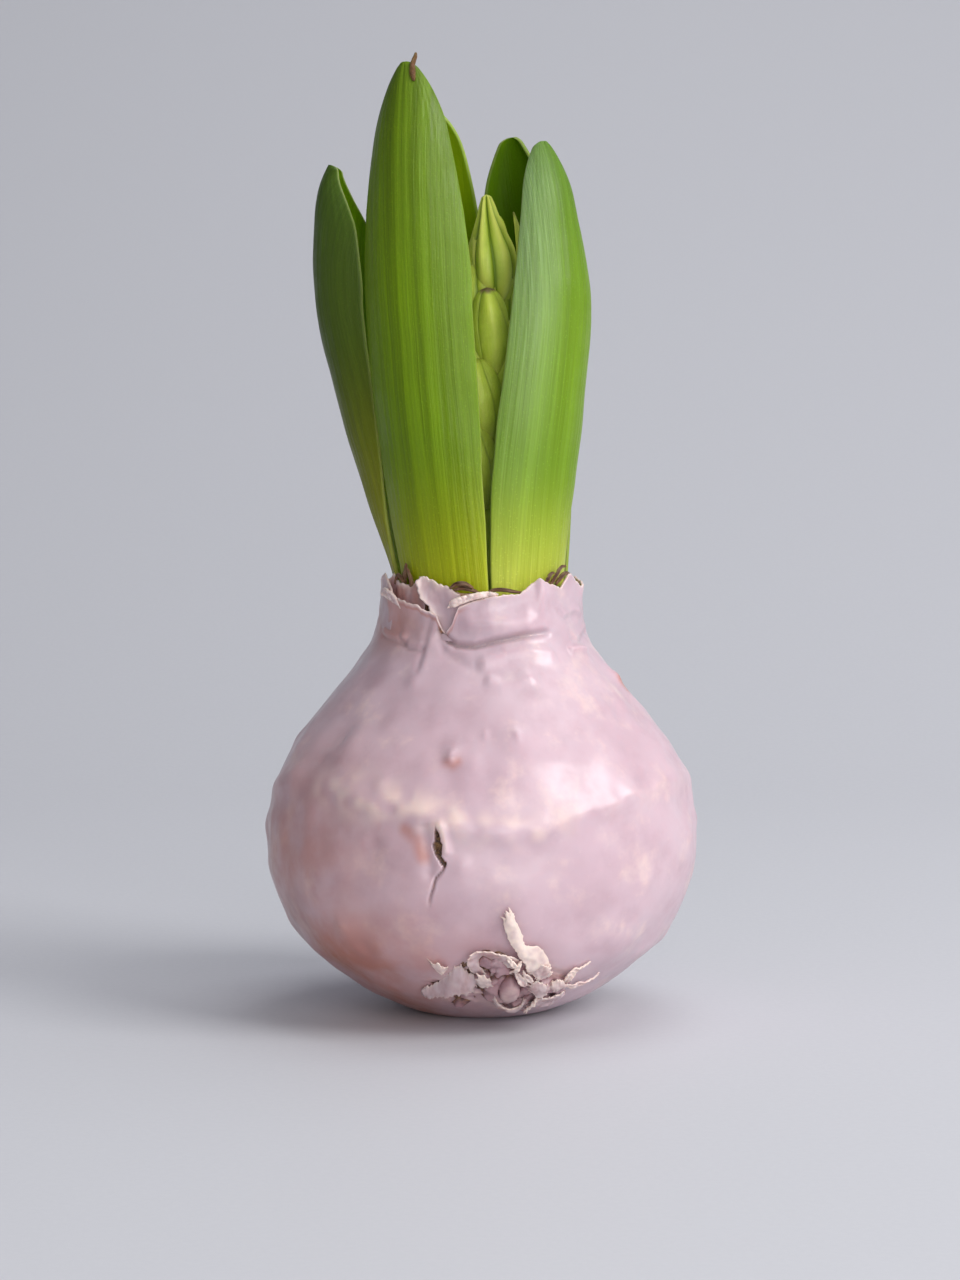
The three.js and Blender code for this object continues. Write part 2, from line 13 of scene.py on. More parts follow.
import bpy
import numpy as np
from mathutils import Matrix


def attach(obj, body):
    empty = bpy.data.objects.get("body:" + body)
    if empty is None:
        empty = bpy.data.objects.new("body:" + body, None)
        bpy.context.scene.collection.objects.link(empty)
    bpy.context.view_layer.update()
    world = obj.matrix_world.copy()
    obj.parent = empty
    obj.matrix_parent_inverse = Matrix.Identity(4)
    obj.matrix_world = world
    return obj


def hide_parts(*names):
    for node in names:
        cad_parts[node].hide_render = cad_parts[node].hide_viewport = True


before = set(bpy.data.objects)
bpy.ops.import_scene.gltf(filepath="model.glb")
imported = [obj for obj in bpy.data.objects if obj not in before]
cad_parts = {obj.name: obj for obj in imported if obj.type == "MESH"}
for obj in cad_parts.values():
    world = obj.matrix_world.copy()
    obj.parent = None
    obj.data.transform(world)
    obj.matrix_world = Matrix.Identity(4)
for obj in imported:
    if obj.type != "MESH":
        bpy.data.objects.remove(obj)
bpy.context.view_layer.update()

MM = 0.001
LOG = logging.getLogger("hyacinth")

Array = np.ndarray
Stations = Sequence[Sequence[float]]
Colour = tuple[float, float, float]
Socket = bpy.types.NodeSocket


def srgb(red: int, green: int, blue: int) -> tuple[float, float, float, float]:
    """Turns a screen colour of 0 to 255 into the linear colour that a shader takes.

    Args:
        red: red share, 0 to 255.
        green: green share, 0 to 255.
        blue: blue share, 0 to 255.

    Returns:
        Linear red, green, blue and an alpha of one.
    """
    shares = np.array([red, green, blue]) / 255
    linear = np.where(shares <= 0.04045, shares / 12.92, ((shares + 0.055) / 1.055) ** 2.4)
    return (float(linear[0]), float(linear[1]), float(linear[2]), 1.0)


# Curves and noise

def smooth_step(value: Array, low: float, high: float) -> Array:
    """Eases from 0 at low to 1 at high: 3t squared less 2t cubed."""
    share = np.clip((value - low) / (high - low), 0, 1)
    return share * share * (3 - 2 * share)


def bell(distance: Array, width: Array) -> Array:
    """Gives a bell curve: e to the power of less the square of the distance over the width."""
    return np.exp(-((distance / width) ** 2))


def read_line(stations: Stations, place: Array) -> Array:
    """Reads straight runs through stations, each a place and its value."""
    return np.interp(place, [at for at, _ in stations], [value for _, value in stations])


def read_curve(stations: Stations, share: Array) -> Array:
    """Reads a smooth curve that passes through every station, as a Catmull-Rom spline.

    Between two stations the curve is the cubic whose slope at each is half the step between its neighbours.

    Args:
        stations: points of any dimension, evenly spaced in the parameter.
        share: parameters from 0 at the first station to 1 at the last.

    Returns:
        One point per parameter.
    """
    points = np.asarray(stations, float)
    padded = np.vstack([2 * points[0] - points[1], points, 2 * points[-1] - points[-2]])
    scaled = np.clip(share, 0, 1) * (len(points) - 1)
    first = np.minimum(scaled.astype(int), len(points) - 2)
    t = (scaled - first)[..., None]
    p0, p1, p2, p3 = (padded[first + k] for k in range(4))
    slope1, slope2 = (p2 - p0) / 2, (p3 - p1) / 2
    cubic = 2 * p1 - 2 * p2 + slope1 + slope2
    square = 3 * p2 - 3 * p1 - 2 * slope1 - slope2
    return cubic * t**3 + square * t**2 + slope1 * t + p1


def points_at(x: Array, y: Array, z: Array) -> Array:
    """Stacks x, y and z, each an array or a number, into points."""
    return np.stack(np.broadcast_arrays(x, y, z), axis=-1)


def unit_grid(rows: int, columns: int) -> tuple[Array, Array]:
    """Gives a grid's two parameters, from 0 to 1 down its rows and from 0 to 1 across its columns."""
    return tuple(np.meshgrid(np.linspace(0, 1, rows), np.linspace(0, 1, columns), indexing="ij"))


def running_length(line: Array) -> Array:
    """Measures along a line of points, from 0 at its first."""
    return np.concatenate([[0], np.cumsum(np.linalg.norm(np.diff(line, axis=0), axis=-1))])


def unit(vectors: Array) -> Array:
    """Scales vectors to length one."""
    return vectors / np.maximum(np.linalg.norm(vectors, axis=-1, keepdims=True), 1e-12)


def outward(azimuth: Array) -> Array:
    """Gives the level direction away from the Z axis: (sin a, -cos a, 0)."""
    a = np.radians(azimuth)
    return np.stack([np.sin(a), -np.cos(a), np.zeros_like(a)], axis=-1)


def around_axis(azimuth: Array, radius: Array, height: Array) -> Array:
    """Gives the point at an azimuth, a radius from the Z axis and a height.

    Args:
        azimuth: degrees.
        radius: millimetres.
        height: millimetres.

    Returns:
        Points in millimetres.
    """
    azimuth, radius, height = np.broadcast_arrays(azimuth, radius, height)
    points = outward(azimuth) * radius[..., None]
    points[..., 2] = height
    return points


def turn_between(start: float, azimuth: Array) -> Array:
    """Gives how far round it is from one azimuth to another."""
    return (azimuth - start + 180) % 360 - 180


def crowded(count: int, low: float, high: float, crowds: Stations) -> Array:
    """Spaces values so that they lie closer together near chosen places.

    The density is 1 plus each crowd's strength times a bell curve, and its running sum is read backwards.

    Args:
        count: how many values.
        low: first value.
        high: last value.
        crowds: place, width and strength of each crowd.

    Returns:
        Rising values from low to high.
    """
    fine = np.linspace(low, high, 4000)
    density = np.ones_like(fine)
    for place, width, strength in crowds:
        density += strength * bell(fine - place, width)
    total = np.concatenate([[0], np.cumsum((density[1:] + density[:-1]) / 2)])
    return np.interp(np.linspace(0, total[-1], count), total, fine)


class Noise:
    """Seeded gradient noise in space.

    Each corner of a unit lattice holds a random slope. A point blends the eight slopes round it with the
    ease 6t to the fifth less 15t to the fourth plus 10t cubed.
    """

    def __init__(self, seed: int) -> None:
        """Draws the lattice's order and slopes.

        Args:
            seed: number that fixes every draw.
        """
        draw = np.random.default_rng(seed)
        self.order = draw.permutation(256)
        self.slopes = unit(draw.normal(size=(256, 3)))

    def at(self, points: Array, size: float) -> Array:
        """Reads the noise.

        Args:
            points: places in millimetres.
            size: size of its lumps in millimetres.

        Returns:
            Values from about -1 to 1.
        """
        scaled = points / size
        cell = np.floor(scaled).astype(int)
        inside = scaled - cell
        ease = inside**3 * (inside * (inside * 6 - 15) + 10)
        total = np.zeros(points.shape[:-1])
        for corner in np.ndindex(2, 2, 2):
            step = np.array(corner)
            x, y, z = np.moveaxis((cell + step) & 255, -1, 0)
            key = self.order[(x + self.order[(y + self.order[z]) & 255]) & 255]
            weight = np.prod(np.where(step == 1, ease, 1 - ease), axis=-1)
            total += weight * np.sum(self.slopes[key] * (inside - step), axis=-1)
        return total * 1.7

    def layered(self, points: Array, size: float, layers: int) -> Array:
        """Adds finer and finer noise, each layer half the size and half the height of the last."""
        return sum(self.at(points + 31.7 * k, size / 2**k) / 2**k for k in range(layers))

    def folds(self, points: Array, size: float, layers: int) -> Array:
        """Gives sharp ridges as of crumpled foil: one less 2.4 times the size of the noise, layered."""
        return sum(
            (1 - 2.4 * np.abs(self.at(points + 17.3 * k, size / 2**k))) / 2**k for k in range(layers))


# Meshes

class Slot(Enum):
    """Material slots of the part's record."""

    WAX = "wax"
    TUNIC = "tunic"
    LEAF = "leaf"
    BUD = "bud"


@dataclass
class Shell:
    """One closed surface, before it goes into a piece.

    Attributes:
        points: corners in millimetres.
        faces: four corner numbers a face, the last two alike in a triangle.
        shades: named values, one a corner, that a finish reads.
    """

    points: Array
    faces: Array
    shades: dict[str, Array]

    def __post_init__(self) -> None:
        """Turns every face round if the volume enclosed comes out negative."""
        corner = self.points[self.faces]
        first = np.cross(corner[:, 1] - corner[:, 0], corner[:, 2] - corner[:, 0])
        second = np.cross(corner[:, 2] - corner[:, 0], corner[:, 3] - corner[:, 0])
        if np.sum((corner[:, 0] - self.points.mean(axis=0)) * (first + second)) < 0:
            self.faces = self.faces[:, [1, 0, 3, 2]]


def make_piece(
    name: str, shells: Sequence[Shell], material: bpy.types.Material, replaced: str = ""
) -> bpy.types.Object:
    """Puts closed surfaces into one smooth mesh that rides on the part.

    Args:
        name: name of the piece.
        shells: the closed surfaces.
        material: finish.
        replaced: solid that the piece stands in for, if any.

    Returns:
        The new object.
    """
    starts = np.cumsum([0] + [len(shell.points) for shell in shells[:-1]])
    points = np.concatenate([shell.points for shell in shells])
    faces = np.concatenate([shell.faces + start for shell, start in zip(shells, starts)])
    triangular = faces[:, 2] == faces[:, 3]
    keep = np.ones_like(faces, bool)
    keep[triangular, 3] = False
    corners = faces[keep]
    mesh = bpy.data.meshes.new(name)
    mesh.vertices.add(len(points))
    mesh.vertices.foreach_set("co", (points * MM).astype(np.float32).ravel())
    mesh.loops.add(len(corners))
    mesh.loops.foreach_set("vertex_index", corners.astype(np.int32))
    mesh.polygons.add(len(faces))
    firsts = np.concatenate([[0], np.cumsum(keep.sum(axis=1))[:-1]])
    mesh.polygons.foreach_set("loop_start", firsts.astype(np.int32))
    mesh.polygons.foreach_set("use_smooth", np.ones(len(faces), bool))
    for label in shells[0].shades:
        values = np.concatenate([shell.shades[label] for shell in shells])
        mesh.attributes.new(label, "FLOAT", "POINT").data.foreach_set("value", values.astype(np.float32))
    mesh.update()
    mesh.materials.append(material)
    piece = bpy.data.objects.new(name, mesh)
    bpy.context.scene.collection.objects.link(piece)
    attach(piece, "root")
    if replaced:
        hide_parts(replaced)
    triangles = 2 * len(faces) - int(triangular.sum())
    LOG.info("%s: %d triangles in %d closed surfaces", name, triangles, len(shells))
    return piece


def quads(grid: Array) -> Array:
    """Joins a grid of corner numbers into faces."""
    return np.stack([grid[:-1, :-1], grid[:-1, 1:], grid[1:, 1:], grid[1:, :-1]], axis=-1).reshape(-1, 4)


def ring_shell(
    rings: Array, shades: dict[str, Array], first: Optional[Sequence[float]] = None,
    last: Optional[Sequence[float]] = None,
) -> Shell:
    """Closes a grid of rings with a pole at each end.

    Corner 0 is the first pole, then come the rings row by row, and the last corner is the last pole.

    Args:
        rings: rows by columns by x, y and z in millimetres.
        shades: named values, each on the same grid or one for all of it.
        first: pole before the first ring, or else its middle.
        last: pole after the last ring, or else its middle.

    Returns:
        The closed surface.
    """
    rows, columns = rings.shape[:2]
    end = 1 + rows * columns
    number = np.arange(1, end).reshape(rows, columns)
    number = np.concatenate([number, number[:, :1]], axis=1)
    start_cap = np.stack(np.broadcast_arrays(number[0, 1:], number[0, :-1], 0, 0), axis=-1)
    end_cap = np.stack(np.broadcast_arrays(number[-1, :-1], number[-1, 1:], end, end), axis=-1)
    foot = rings[0].mean(axis=0) if first is None else np.asarray(first, float)
    tip = rings[-1].mean(axis=0) if last is None else np.asarray(last, float)
    points = np.concatenate([foot[None], rings.reshape(-1, 3), tip[None]])
    flat = {}
    for label, values in shades.items():
        values = np.broadcast_to(values, (rows, columns))
        flat[label] = np.concatenate([[values[0].mean()], values.ravel(), [values[-1].mean()]])
    return Shell(points, np.concatenate([quads(number), start_cap, end_cap]), flat)


def sheet_shell(middle: Array, thickness: float, shades: dict[str, Array]) -> Shell:
    """Thickens a grid into a thin closed sheet whose four margins are rounded.

    Each face stands half a thickness off the middle, along the grid's own normal, times the square root of
    one less the square of how far a corner is inside the rounded margin.

    Args:
        middle: rows by columns by x, y and z of the middle surface in millimetres.
        thickness: millimetres.
        shades: named values, each on the same grid or one for all of it.

    Returns:
        The closed surface.
    """
    rows, columns = middle.shape[:2]
    up, on = np.gradient(middle, axis=0), np.gradient(middle, axis=1)
    normal = unit(np.cross(up, on))
    row, column = np.meshgrid(np.arange(rows), np.arange(columns), indexing="ij")
    from_ends = np.minimum(row, rows - 1 - row) * np.linalg.norm(up, axis=-1)
    from_sides = np.minimum(column, columns - 1 - column) * np.linalg.norm(on, axis=-1)
    missing = np.clip(1 - np.minimum(from_ends, from_sides) / (thickness / 2), 0, 1)
    stand = (thickness / 2 * np.sqrt(1 - missing**2))[..., None] * normal
    points = np.concatenate([(middle + stand).reshape(-1, 3), (middle - stand).reshape(-1, 3)])
    outer = row * columns + column
    edge = (row == 0) | (row == rows - 1) | (column == 0) | (column == columns - 1)
    inner = np.where(edge, outer, outer + rows * columns)
    faces = np.concatenate([quads(outer), quads(inner)[:, ::-1]])
    used, numbers = np.unique(faces, return_inverse=True)
    flat = {
        label: np.tile(np.broadcast_to(values, (rows, columns)).ravel(), 2)[used]
        for label, values in shades.items()
    }
    return Shell(points[used], numbers.reshape(-1, 4), flat)


def rolled_strip(line: Array, facing: Array, roll: Array, bend: Array) -> Array:
    """Rolls a strip along a line into a gutter whose hollow is turned away from the side it faces.

    The place across is the radius of the roll times the sine of the bend, and the depth is the same radius
    times one less the cosine.

    Args:
        line: points down the middle of the strip.
        facing: direction that each point faces.
        roll: radius in millimetres, a column.
        bend: radians on the strip's grid.

    Returns:
        Points on the grid.
    """
    facing, along = facing[:, None], unit(np.gradient(line, axis=0))[:, None]
    sideways = unit(np.cross(along, facing))
    return line[:, None] + sideways * (roll * np.sin(bend))[..., None] + facing * (
        roll * (np.cos(bend) - 1))[..., None]


def path_distance(path: Stations, azimuth: Array, height: Array, radius: Array) -> tuple[Array, Array]:
    """Measures from points of a round surface to a line drawn on it, on the surface unrolled.

    Args:
        path: azimuth and height of the line's corners.
        azimuth: degrees of each point.
        height: height of each point.
        radius: radius at each point, which turns degrees into millimetres.

    Returns:
        The distance in millimetres, positive on the line's left and above it, and the share along the line.
    """
    best = np.full(np.broadcast(azimuth, height).shape, 1e9)
    side, along = np.zeros_like(best), np.zeros_like(best)
    for k, ((a0, z0), (a1, z1)) in enumerate(zip(path[:-1], path[1:])):
        x = np.radians(turn_between(a0, azimuth)) * radius
        z = height - z0
        dx, dz = np.radians(a1 - a0) * radius, z1 - z0
        share = np.clip((x * dx + z * dz) / (dx * dx + dz * dz), 0, 1)
        away = np.hypot(x - share * dx, z - share * dz)
        nearer = away < best
        best = np.where(nearer, away, best)
        side = np.where(nearer, np.sign(dx * z - dz * x), side)
        along = np.where(nearer, (k + share) / (len(path) - 1), along)
    return best * np.where(side == 0, 1, side), along


def blade_section(count: int) -> tuple[Array, Array]:
    """Gives the places round a blade's section, from one margin over the outer face and back.

    The place across is half a cosine and half a straight run, so that places crowd at the margins.

    Args:
        count: places round the section, an even number.

    Returns:
        The place across from -1 to 1, and whether each place is on the inner face.
    """
    turn = 2 * np.pi * np.arange(count) / count
    straight = np.where(turn <= np.pi, 1 - 2 * turn / np.pi, 2 * turn / np.pi - 3)
    return 0.5 * np.cos(turn) + 0.5 * straight, turn > np.pi


# Finishes

class Wiring:
    """Adds nodes to one node tree and joins them."""

    def __init__(self, tree: bpy.types.NodeTree) -> None:
        """Keeps the node tree of a material or a group."""
        self.tree = tree

    def join(self, node: bpy.types.Node, values: dict) -> None:
        """Sets or joins inputs of a node.

        Args:
            node: the node.
            values: a value or another node's output for each input, by name or number.
        """
        for key, value in values.items():
            if isinstance(value, Socket):
                self.tree.links.new(value, node.inputs[key])
            else:
                node.inputs[key].default_value = value

    def node(self, kind: str, inputs: Optional[dict] = None, **settings: object) -> bpy.types.Node:
        """Adds a node.

        Args:
            kind: Blender's name for the node's type.
            inputs: a value or another node's output for each input, by name or number.
            settings: properties of the node.

        Returns:
            The new node.
        """
        made = self.tree.nodes.new(kind)
        for name, value in settings.items():
            setattr(made, name, value)
        self.join(made, inputs or {})
        return made

    def math(self, operation: str, first: object, second: object = 0.0) -> Socket:
        """Works out a sum of two values, by Blender's name for it."""
        return self.node("ShaderNodeMath", {0: first, 1: second}, operation=operation).outputs[0]

    def times(self, first: object, second: object) -> Socket:
        """Multiplies two values."""
        return self.math("MULTIPLY", first, second)

    def plus(self, first: object, second: object) -> Socket:
        """Adds two values."""
        return self.math("ADD", first, second)

    def blend(self, share: object, first: object, second: object) -> Socket:
        """Goes from a first colour at a share of 0 to a second one at 1."""
        return self.node("ShaderNodeMix", {0: share, 6: first, 7: second}, data_type="RGBA").outputs[2]

    def span(
        self, value: object, low: object, high: object, to_low: float = 0, to_high: float = 1
    ) -> Socket:
        """Eases a value from one range into another."""
        inputs = {0: value, 1: low, 2: high, 3: to_low, 4: to_high}
        return self.node("ShaderNodeMapRange", inputs, interpolation_type="SMOOTHSTEP").outputs[0]

    def noise(self, vector: object, scale: object, detail: float = 3, roughness: float = 0.55) -> Socket:
        """Adds a noise texture."""
        inputs = {"Vector": vector, "Scale": scale, "Detail": detail, "Roughness": roughness}
        return self.node("ShaderNodeTexNoise", inputs).outputs[0]

    def attribute(self, name: str) -> Socket:
        """Reads a named value of the mesh."""
        return self.node("ShaderNodeAttribute", attribute_name=name).outputs["Fac"]

    def place(self) -> Socket:
        """Gives the place on the object in metres."""
        return self.node("ShaderNodeTexCoord").outputs["Object"]

    def bump(self, relief: Socket, strength: float, distance: float) -> Socket:
        """Turns a relief, whose 1 is a distance in metres, into a tilt of the surface."""
        inputs = {"Height": relief, "Strength": strength, "Distance": distance}
        return self.node("ShaderNodeBump", inputs).outputs[0]

    def effect(self, group: bpy.types.NodeTree, inputs: dict) -> Socket:
        """Adds a shared effect, with a value or an output for each of its named inputs."""
        return self.node("ShaderNodeGroup", inputs, node_tree=group).outputs[0]


def new_effect(
    name: str, inputs: Sequence[str], output: str, wire: Callable[[Wiring, dict], Socket]
) -> bpy.types.NodeTree:
    """Builds a node group with named inputs and one named output.

    Args:
        name: name of the effect.
        inputs: names of the inputs, all numbers but Vector.
        output: name of the output, a number.
        wire: adds the nodes and returns the result.

    Returns:
        The node group.
    """
    group = bpy.data.node_groups.new(name, "ShaderNodeTree")
    for label in inputs:
        kind = "NodeSocketVector" if label == "Vector" else "NodeSocketFloat"
        group.interface.new_socket(label, in_out="INPUT", socket_type=kind)
    group.interface.new_socket(output, in_out="OUTPUT", socket_type="NodeSocketFloat")
    start = group.nodes.new("NodeGroupInput")
    end = group.nodes.new("NodeGroupOutput")
    result = wire(Wiring(group), {socket.name: socket for socket in start.outputs})
    group.links.new(result, end.inputs[0])
    return group


class Effects:
    """The node groups that several finishes share."""

    def __init__(self) -> None:
        """Builds each group once."""
        self.mottling = new_effect(
            "mottling", ("Vector", "Scale", "Low", "High"), "Mask", self.wire_mottling)
        self.streaks = new_effect(
            "streaks", ("Across", "Along", "Count", "Stretch"), "Mask", self.wire_streaks)
        self.dots = new_effect("dots", ("Vector", "Scale", "Reach"), "Mask", self.wire_dots)
        self.grain = new_effect("grain", ("Vector", "Coarse", "Fine"), "Height", self.wire_grain)

    def clouds(self, w: Wiring, place: Socket, scale: float, low: float, high: float) -> Socket:
        """Adds cloudy patches, so many lumps a metre, eased between two levels of their noise."""
        return w.effect(self.mottling, {"Vector": place, "Scale": scale, "Low": low, "High": high})

    def fibres(self, w: Wiring, across: Socket, along: Socket, count: float, stretch: float) -> Socket:
        """Adds long fibres, with one count of lumps across and another along."""
        inputs = {"Across": across, "Along": along, "Count": count, "Stretch": stretch}
        return w.effect(self.streaks, inputs)

    def spots(self, w: Wiring, place: Socket, scale: float, reach: float) -> Socket:
        """Adds scattered dots, so many a metre, with a reach as a share of their spacing."""
        return w.effect(self.dots, {"Vector": place, "Scale": scale, "Reach": reach})

    def grit(self, w: Wiring, place: Socket, coarse: float, fine: float) -> Socket:
        """Adds a skin's relief, with so many coarse and so many fine lumps a metre."""
        return w.effect(self.grain, {"Vector": place, "Coarse": coarse, "Fine": fine})

    @staticmethod
    def wire_mottling(wiring: Wiring, given: dict) -> Socket:
        """Cloudy patches: layered noise eased between two levels."""
        noise = wiring.noise(given["Vector"], given["Scale"], 4, 0.6)
        return wiring.span(noise, given["Low"], given["High"])

    @staticmethod
    def wire_streaks(wiring: Wiring, given: dict) -> Socket:
        """Long fibres: noise that is stretched along the blade."""
        across = wiring.times(given["Across"], given["Count"])
        along = wiring.times(given["Along"], given["Stretch"])
        place = wiring.node("ShaderNodeCombineXYZ", {0: across, 1: along}).outputs[0]
        return wiring.span(wiring.noise(place, 1.0, 3, 0.6), 0.3, 0.7)

    @staticmethod
    def wire_dots(wiring: Wiring, given: dict) -> Socket:
        """Scattered dots: full within a reach of each seed of a random pattern, and none at twice that."""
        inputs = {"Vector": given["Vector"], "Scale": given["Scale"]}
        away = wiring.node("ShaderNodeTexVoronoi", inputs).outputs["Distance"]
        far = wiring.times(given["Reach"], 2.0)
        levels = {0: away, 1: given["Reach"], 2: far, 3: 1.0, 4: 0.0}
        return wiring.node("ShaderNodeMapRange", levels).outputs[0]

    @staticmethod
    def wire_grain(wiring: Wiring, given: dict) -> Socket:
        """A skin's relief: coarse noise with fine noise a third as high."""
        coarse = wiring.noise(given["Vector"], given["Coarse"], 3, 0.5)
        fine = wiring.noise(given["Vector"], given["Fine"], 2, 0.5)
        return wiring.plus(coarse, wiring.times(fine, 0.33))


def new_material(name: str) -> tuple[bpy.types.Material, Wiring, bpy.types.Node]:
    """Makes a material with only its surface shader and output.

    Args:
        name: name of the material.

    Returns:
        The material, its wiring and its surface shader.
    """
    material = bpy.data.materials.new(name)
    material.use_nodes = True
    material.node_tree.nodes.clear()
    wiring = Wiring(material.node_tree)
    shader = wiring.node("ShaderNodeBsdfPrincipled")
    wiring.node("ShaderNodeOutputMaterial", {"Surface": shader.outputs[0]})
    return material, wiring, shader


@dataclass(frozen=True)
class WaxFinish:
    """Mauve-pink dipped wax: cloudy, glossy, a little see-through, cream where torn and brown in the crack,
    with painted shade, some painted highlight and a painted warm reflected light.
    """

    name: str = "wax"
    mauve: tuple = srgb(203, 175, 186)
    pale: tuple = srgb(214, 190, 199)
    deep: tuple = srgb(184, 152, 164)
    # Brown of real stains, also laid as painted shade warmed by a painted reflected light.
    stain: tuple = srgb(184, 115, 93)
    # Purple-brown of painted shade.
    painted_shade: tuple = srgb(146, 104, 114)
    cream: tuple = srgb(248, 221, 208)
    brown: tuple = srgb(136, 98, 56)
    dark: tuple = srgb(58, 32, 20)

    def build(self, effects: Effects) -> bpy.types.Material:
        """Wires the finish.

        Args:
            effects: shared node groups.

        Returns:
            The material.
        """
        material, w, shader = new_material(self.name)
        place = w.place()
        clouds = effects.clouds(w, place, 60.0, 0.3, 0.72)
        patches = effects.clouds(w, place, 170.0, 0.42, 0.75)
        blotches = effects.clouds(w, place, 150.0, 0.52, 0.82)
        specks = effects.clouds(w, place, 900.0, 0.62, 0.76)
        colour = w.blend(w.times(clouds, 0.6), self.mauve, self.pale)
        colour = w.blend(w.times(patches, 0.4), colour, self.deep)
        colour = w.blend(w.times(blotches, 0.5), colour, self.cream)
        colour = w.blend(w.times(specks, 0.12), colour, self.cream)
        # Brown stains together with painted warm shade, broken up by noise.
        stained = w.times(w.attribute("stain"), w.span(w.noise(place, 130.0, 4, 0.5), 0.2, 0.65, 0.3, 1))
        colour = w.blend(stained, colour, self.stain)
        # Painted shade in purple-brown.
        colour = w.blend(w.attribute("shade"), colour, self.painted_shade)
        colour = w.blend(w.attribute("pale"), colour, self.cream)
        # The crack's browns, also laid as painted shade along the collar crease and in the crevices at the
        # roots.
        fibres = w.span(w.noise(place, 2400.0, 2), 0.35, 0.65)
        inside = w.blend(fibres, self.dark, self.brown)
        colour = w.blend(w.attribute("crack"), colour, inside)
        rough = w.span(w.noise(place, 500.0, 3), 0.35, 0.7, 0.3, 0.44)
        relief = effects.grit(w, place, 800.0, 4200.0)
        bump = w.bump(relief, 0.1, 0.00006)
        w.join(shader, {
            "Base Color": colour, "Roughness": rough, "Normal": bump, "IOR": 1.44,
            "Subsurface Weight": 0.22, "Subsurface Radius": (0.003, 0.0013, 0.0012),
            "Subsurface Scale": 1.0, "Coat Weight": 0.28, "Coat Roughness": 0.22,
        })
        return material


@dataclass(frozen=True)
class LeafFinish:
    """A fleshy leaf: yellow-green at the foot, streaked lengthwise, with a pale margin and a dry tip.
    Stripes across it, a sheen on the upper blade, the lighter inner face and the margin also carry painted
    light and shade.
    """

    name: str
    foot: tuple
    middle: tuple
    tip: tuple
    # How strongly one side of the upper blade is painted pale: a glaucous film with a painted sheen.
    bloom_and_sheen: float = 0.1
    bloom_and_sheen_side: float = 1.0
    # Lengthwise stripes, each a place across, a reach and a strength: partly the leaf's own tone, partly
    # painted light and shade across the blade's curve.
    bands_of_tone_and_light: Stations = ()
    gloss: float = 0.27
    # Colour of the inner face: partly its own, partly painted light shining through the leaf.
    inner_face_and_glow: tuple = srgb(120, 158, 14)
    foot_reach: float = 0.42
    # Pale margin, partly painted highlight along the edge.
    margin: tuple = srgb(190, 200, 120)
    dry: tuple = srgb(128, 92, 58)

    def build(self, effects: Effects) -> bpy.types.Material:
        """Wires the finish.

        Args:
            effects: shared node groups.

        Returns:
            The material.
        """
        material, w, shader = new_material(self.name)
        place = w.place()
        across, along = w.attribute("across"), w.attribute("along")
        broad = effects.fibres(w, across, along, 7.0, 1.6)
        fine = effects.fibres(w, across, along, 30.0, 3.0)
        hair = effects.fibres(w, across, along, 85.0, 6.0)
        clouds = effects.clouds(w, place, 130.0, 0.35, 0.68)
        dots = effects.spots(w, place, 1500.0, 0.12)
        colour = w.blend(w.span(along, 0.08, self.foot_reach), self.foot, self.middle)
        colour = w.blend(w.span(along, 0.55, 1.0), colour, self.tip)
        changes = ({"Value": 0.66, "Saturation": 1.08}, {"Value": 1.42, "Saturation": 0.98})
        darker, lighter = (
            w.node("ShaderNodeHueSaturation", {**change, "Color": colour}).outputs[0] for change in changes)
        colour = w.blend(w.times(broad, 0.6), colour, darker)
        # Lengthwise stripes, partly painted light and shade across the blade's curve.
        for centre, reach, strength in self.bands_of_tone_and_light:
            wavy = w.plus(across, w.times(broad, 0.05))
            away = w.math("ABSOLUTE", w.math("SUBTRACT", wavy, centre))
            mask = w.times(w.span(away, 0.1 * reach, reach, abs(strength), 0.0), w.span(along, 0.1, 0.5))
            colour = w.blend(mask, colour, lighter if strength > 0 else darker)
        colour = w.blend(w.times(fine, 0.42), colour, lighter)
        colour = w.blend(w.times(hair, 0.36), colour, darker)
        colour = w.blend(w.times(clouds, 0.12), colour, darker)
        colour = w.blend(w.times(dots, 0.35), colour, lighter)
        # A glaucous film with a painted sheen on one side of the upper blade.
        high = w.times(w.span(along, 0.25, 0.8), w.span(w.times(across, self.bloom_and_sheen_side), -0.15, 0.55))
        bloom_and_sheen_mask = w.times(high, w.times(w.math("SUBTRACT", 1.0, w.times(hair, 0.5)), self.bloom_and_sheen))
        colour = w.blend(bloom_and_sheen_mask, colour, srgb(176, 198, 168))
        # The inner face, painted lighter: partly its own colour, partly painted light shining through the
        # leaf.
        inner_face_and_glow = w.blend(w.times(fine, 0.3), self.inner_face_and_glow, colour)
        colour = w.blend(w.times(w.attribute("inner"), 0.75), colour, inner_face_and_glow)
        # Pale margin, partly painted highlight along the edge.
        colour = w.blend(w.times(w.attribute("margin"), 0.4), colour, self.margin)
        colour = w.blend(w.attribute("dry"), colour, w.blend(fine, self.dry, srgb(78, 52, 34)))
        ribs = w.plus(w.times(fine, 0.6), w.times(broad, 0.8))
        relief = w.plus(ribs, effects.grit(w, place, 1800.0, 7000.0))
        bump = w.bump(relief, 0.4, 0.00012)
        rough = w.span(clouds, 0.0, 1.0, 0.34, 0.5)
        w.join(shader, {
            "Base Color": colour, "Roughness": rough, "Normal": bump, "IOR": 1.42,
            "Subsurface Weight": 0.2, "Subsurface Radius": (0.0009, 0.0018, 0.0002),
            "Subsurface Scale": 1.0, "Coat Weight": 0.05, "Coat Roughness": 0.3,
            "Specular IOR Level": self.gloss,
        })
        return material


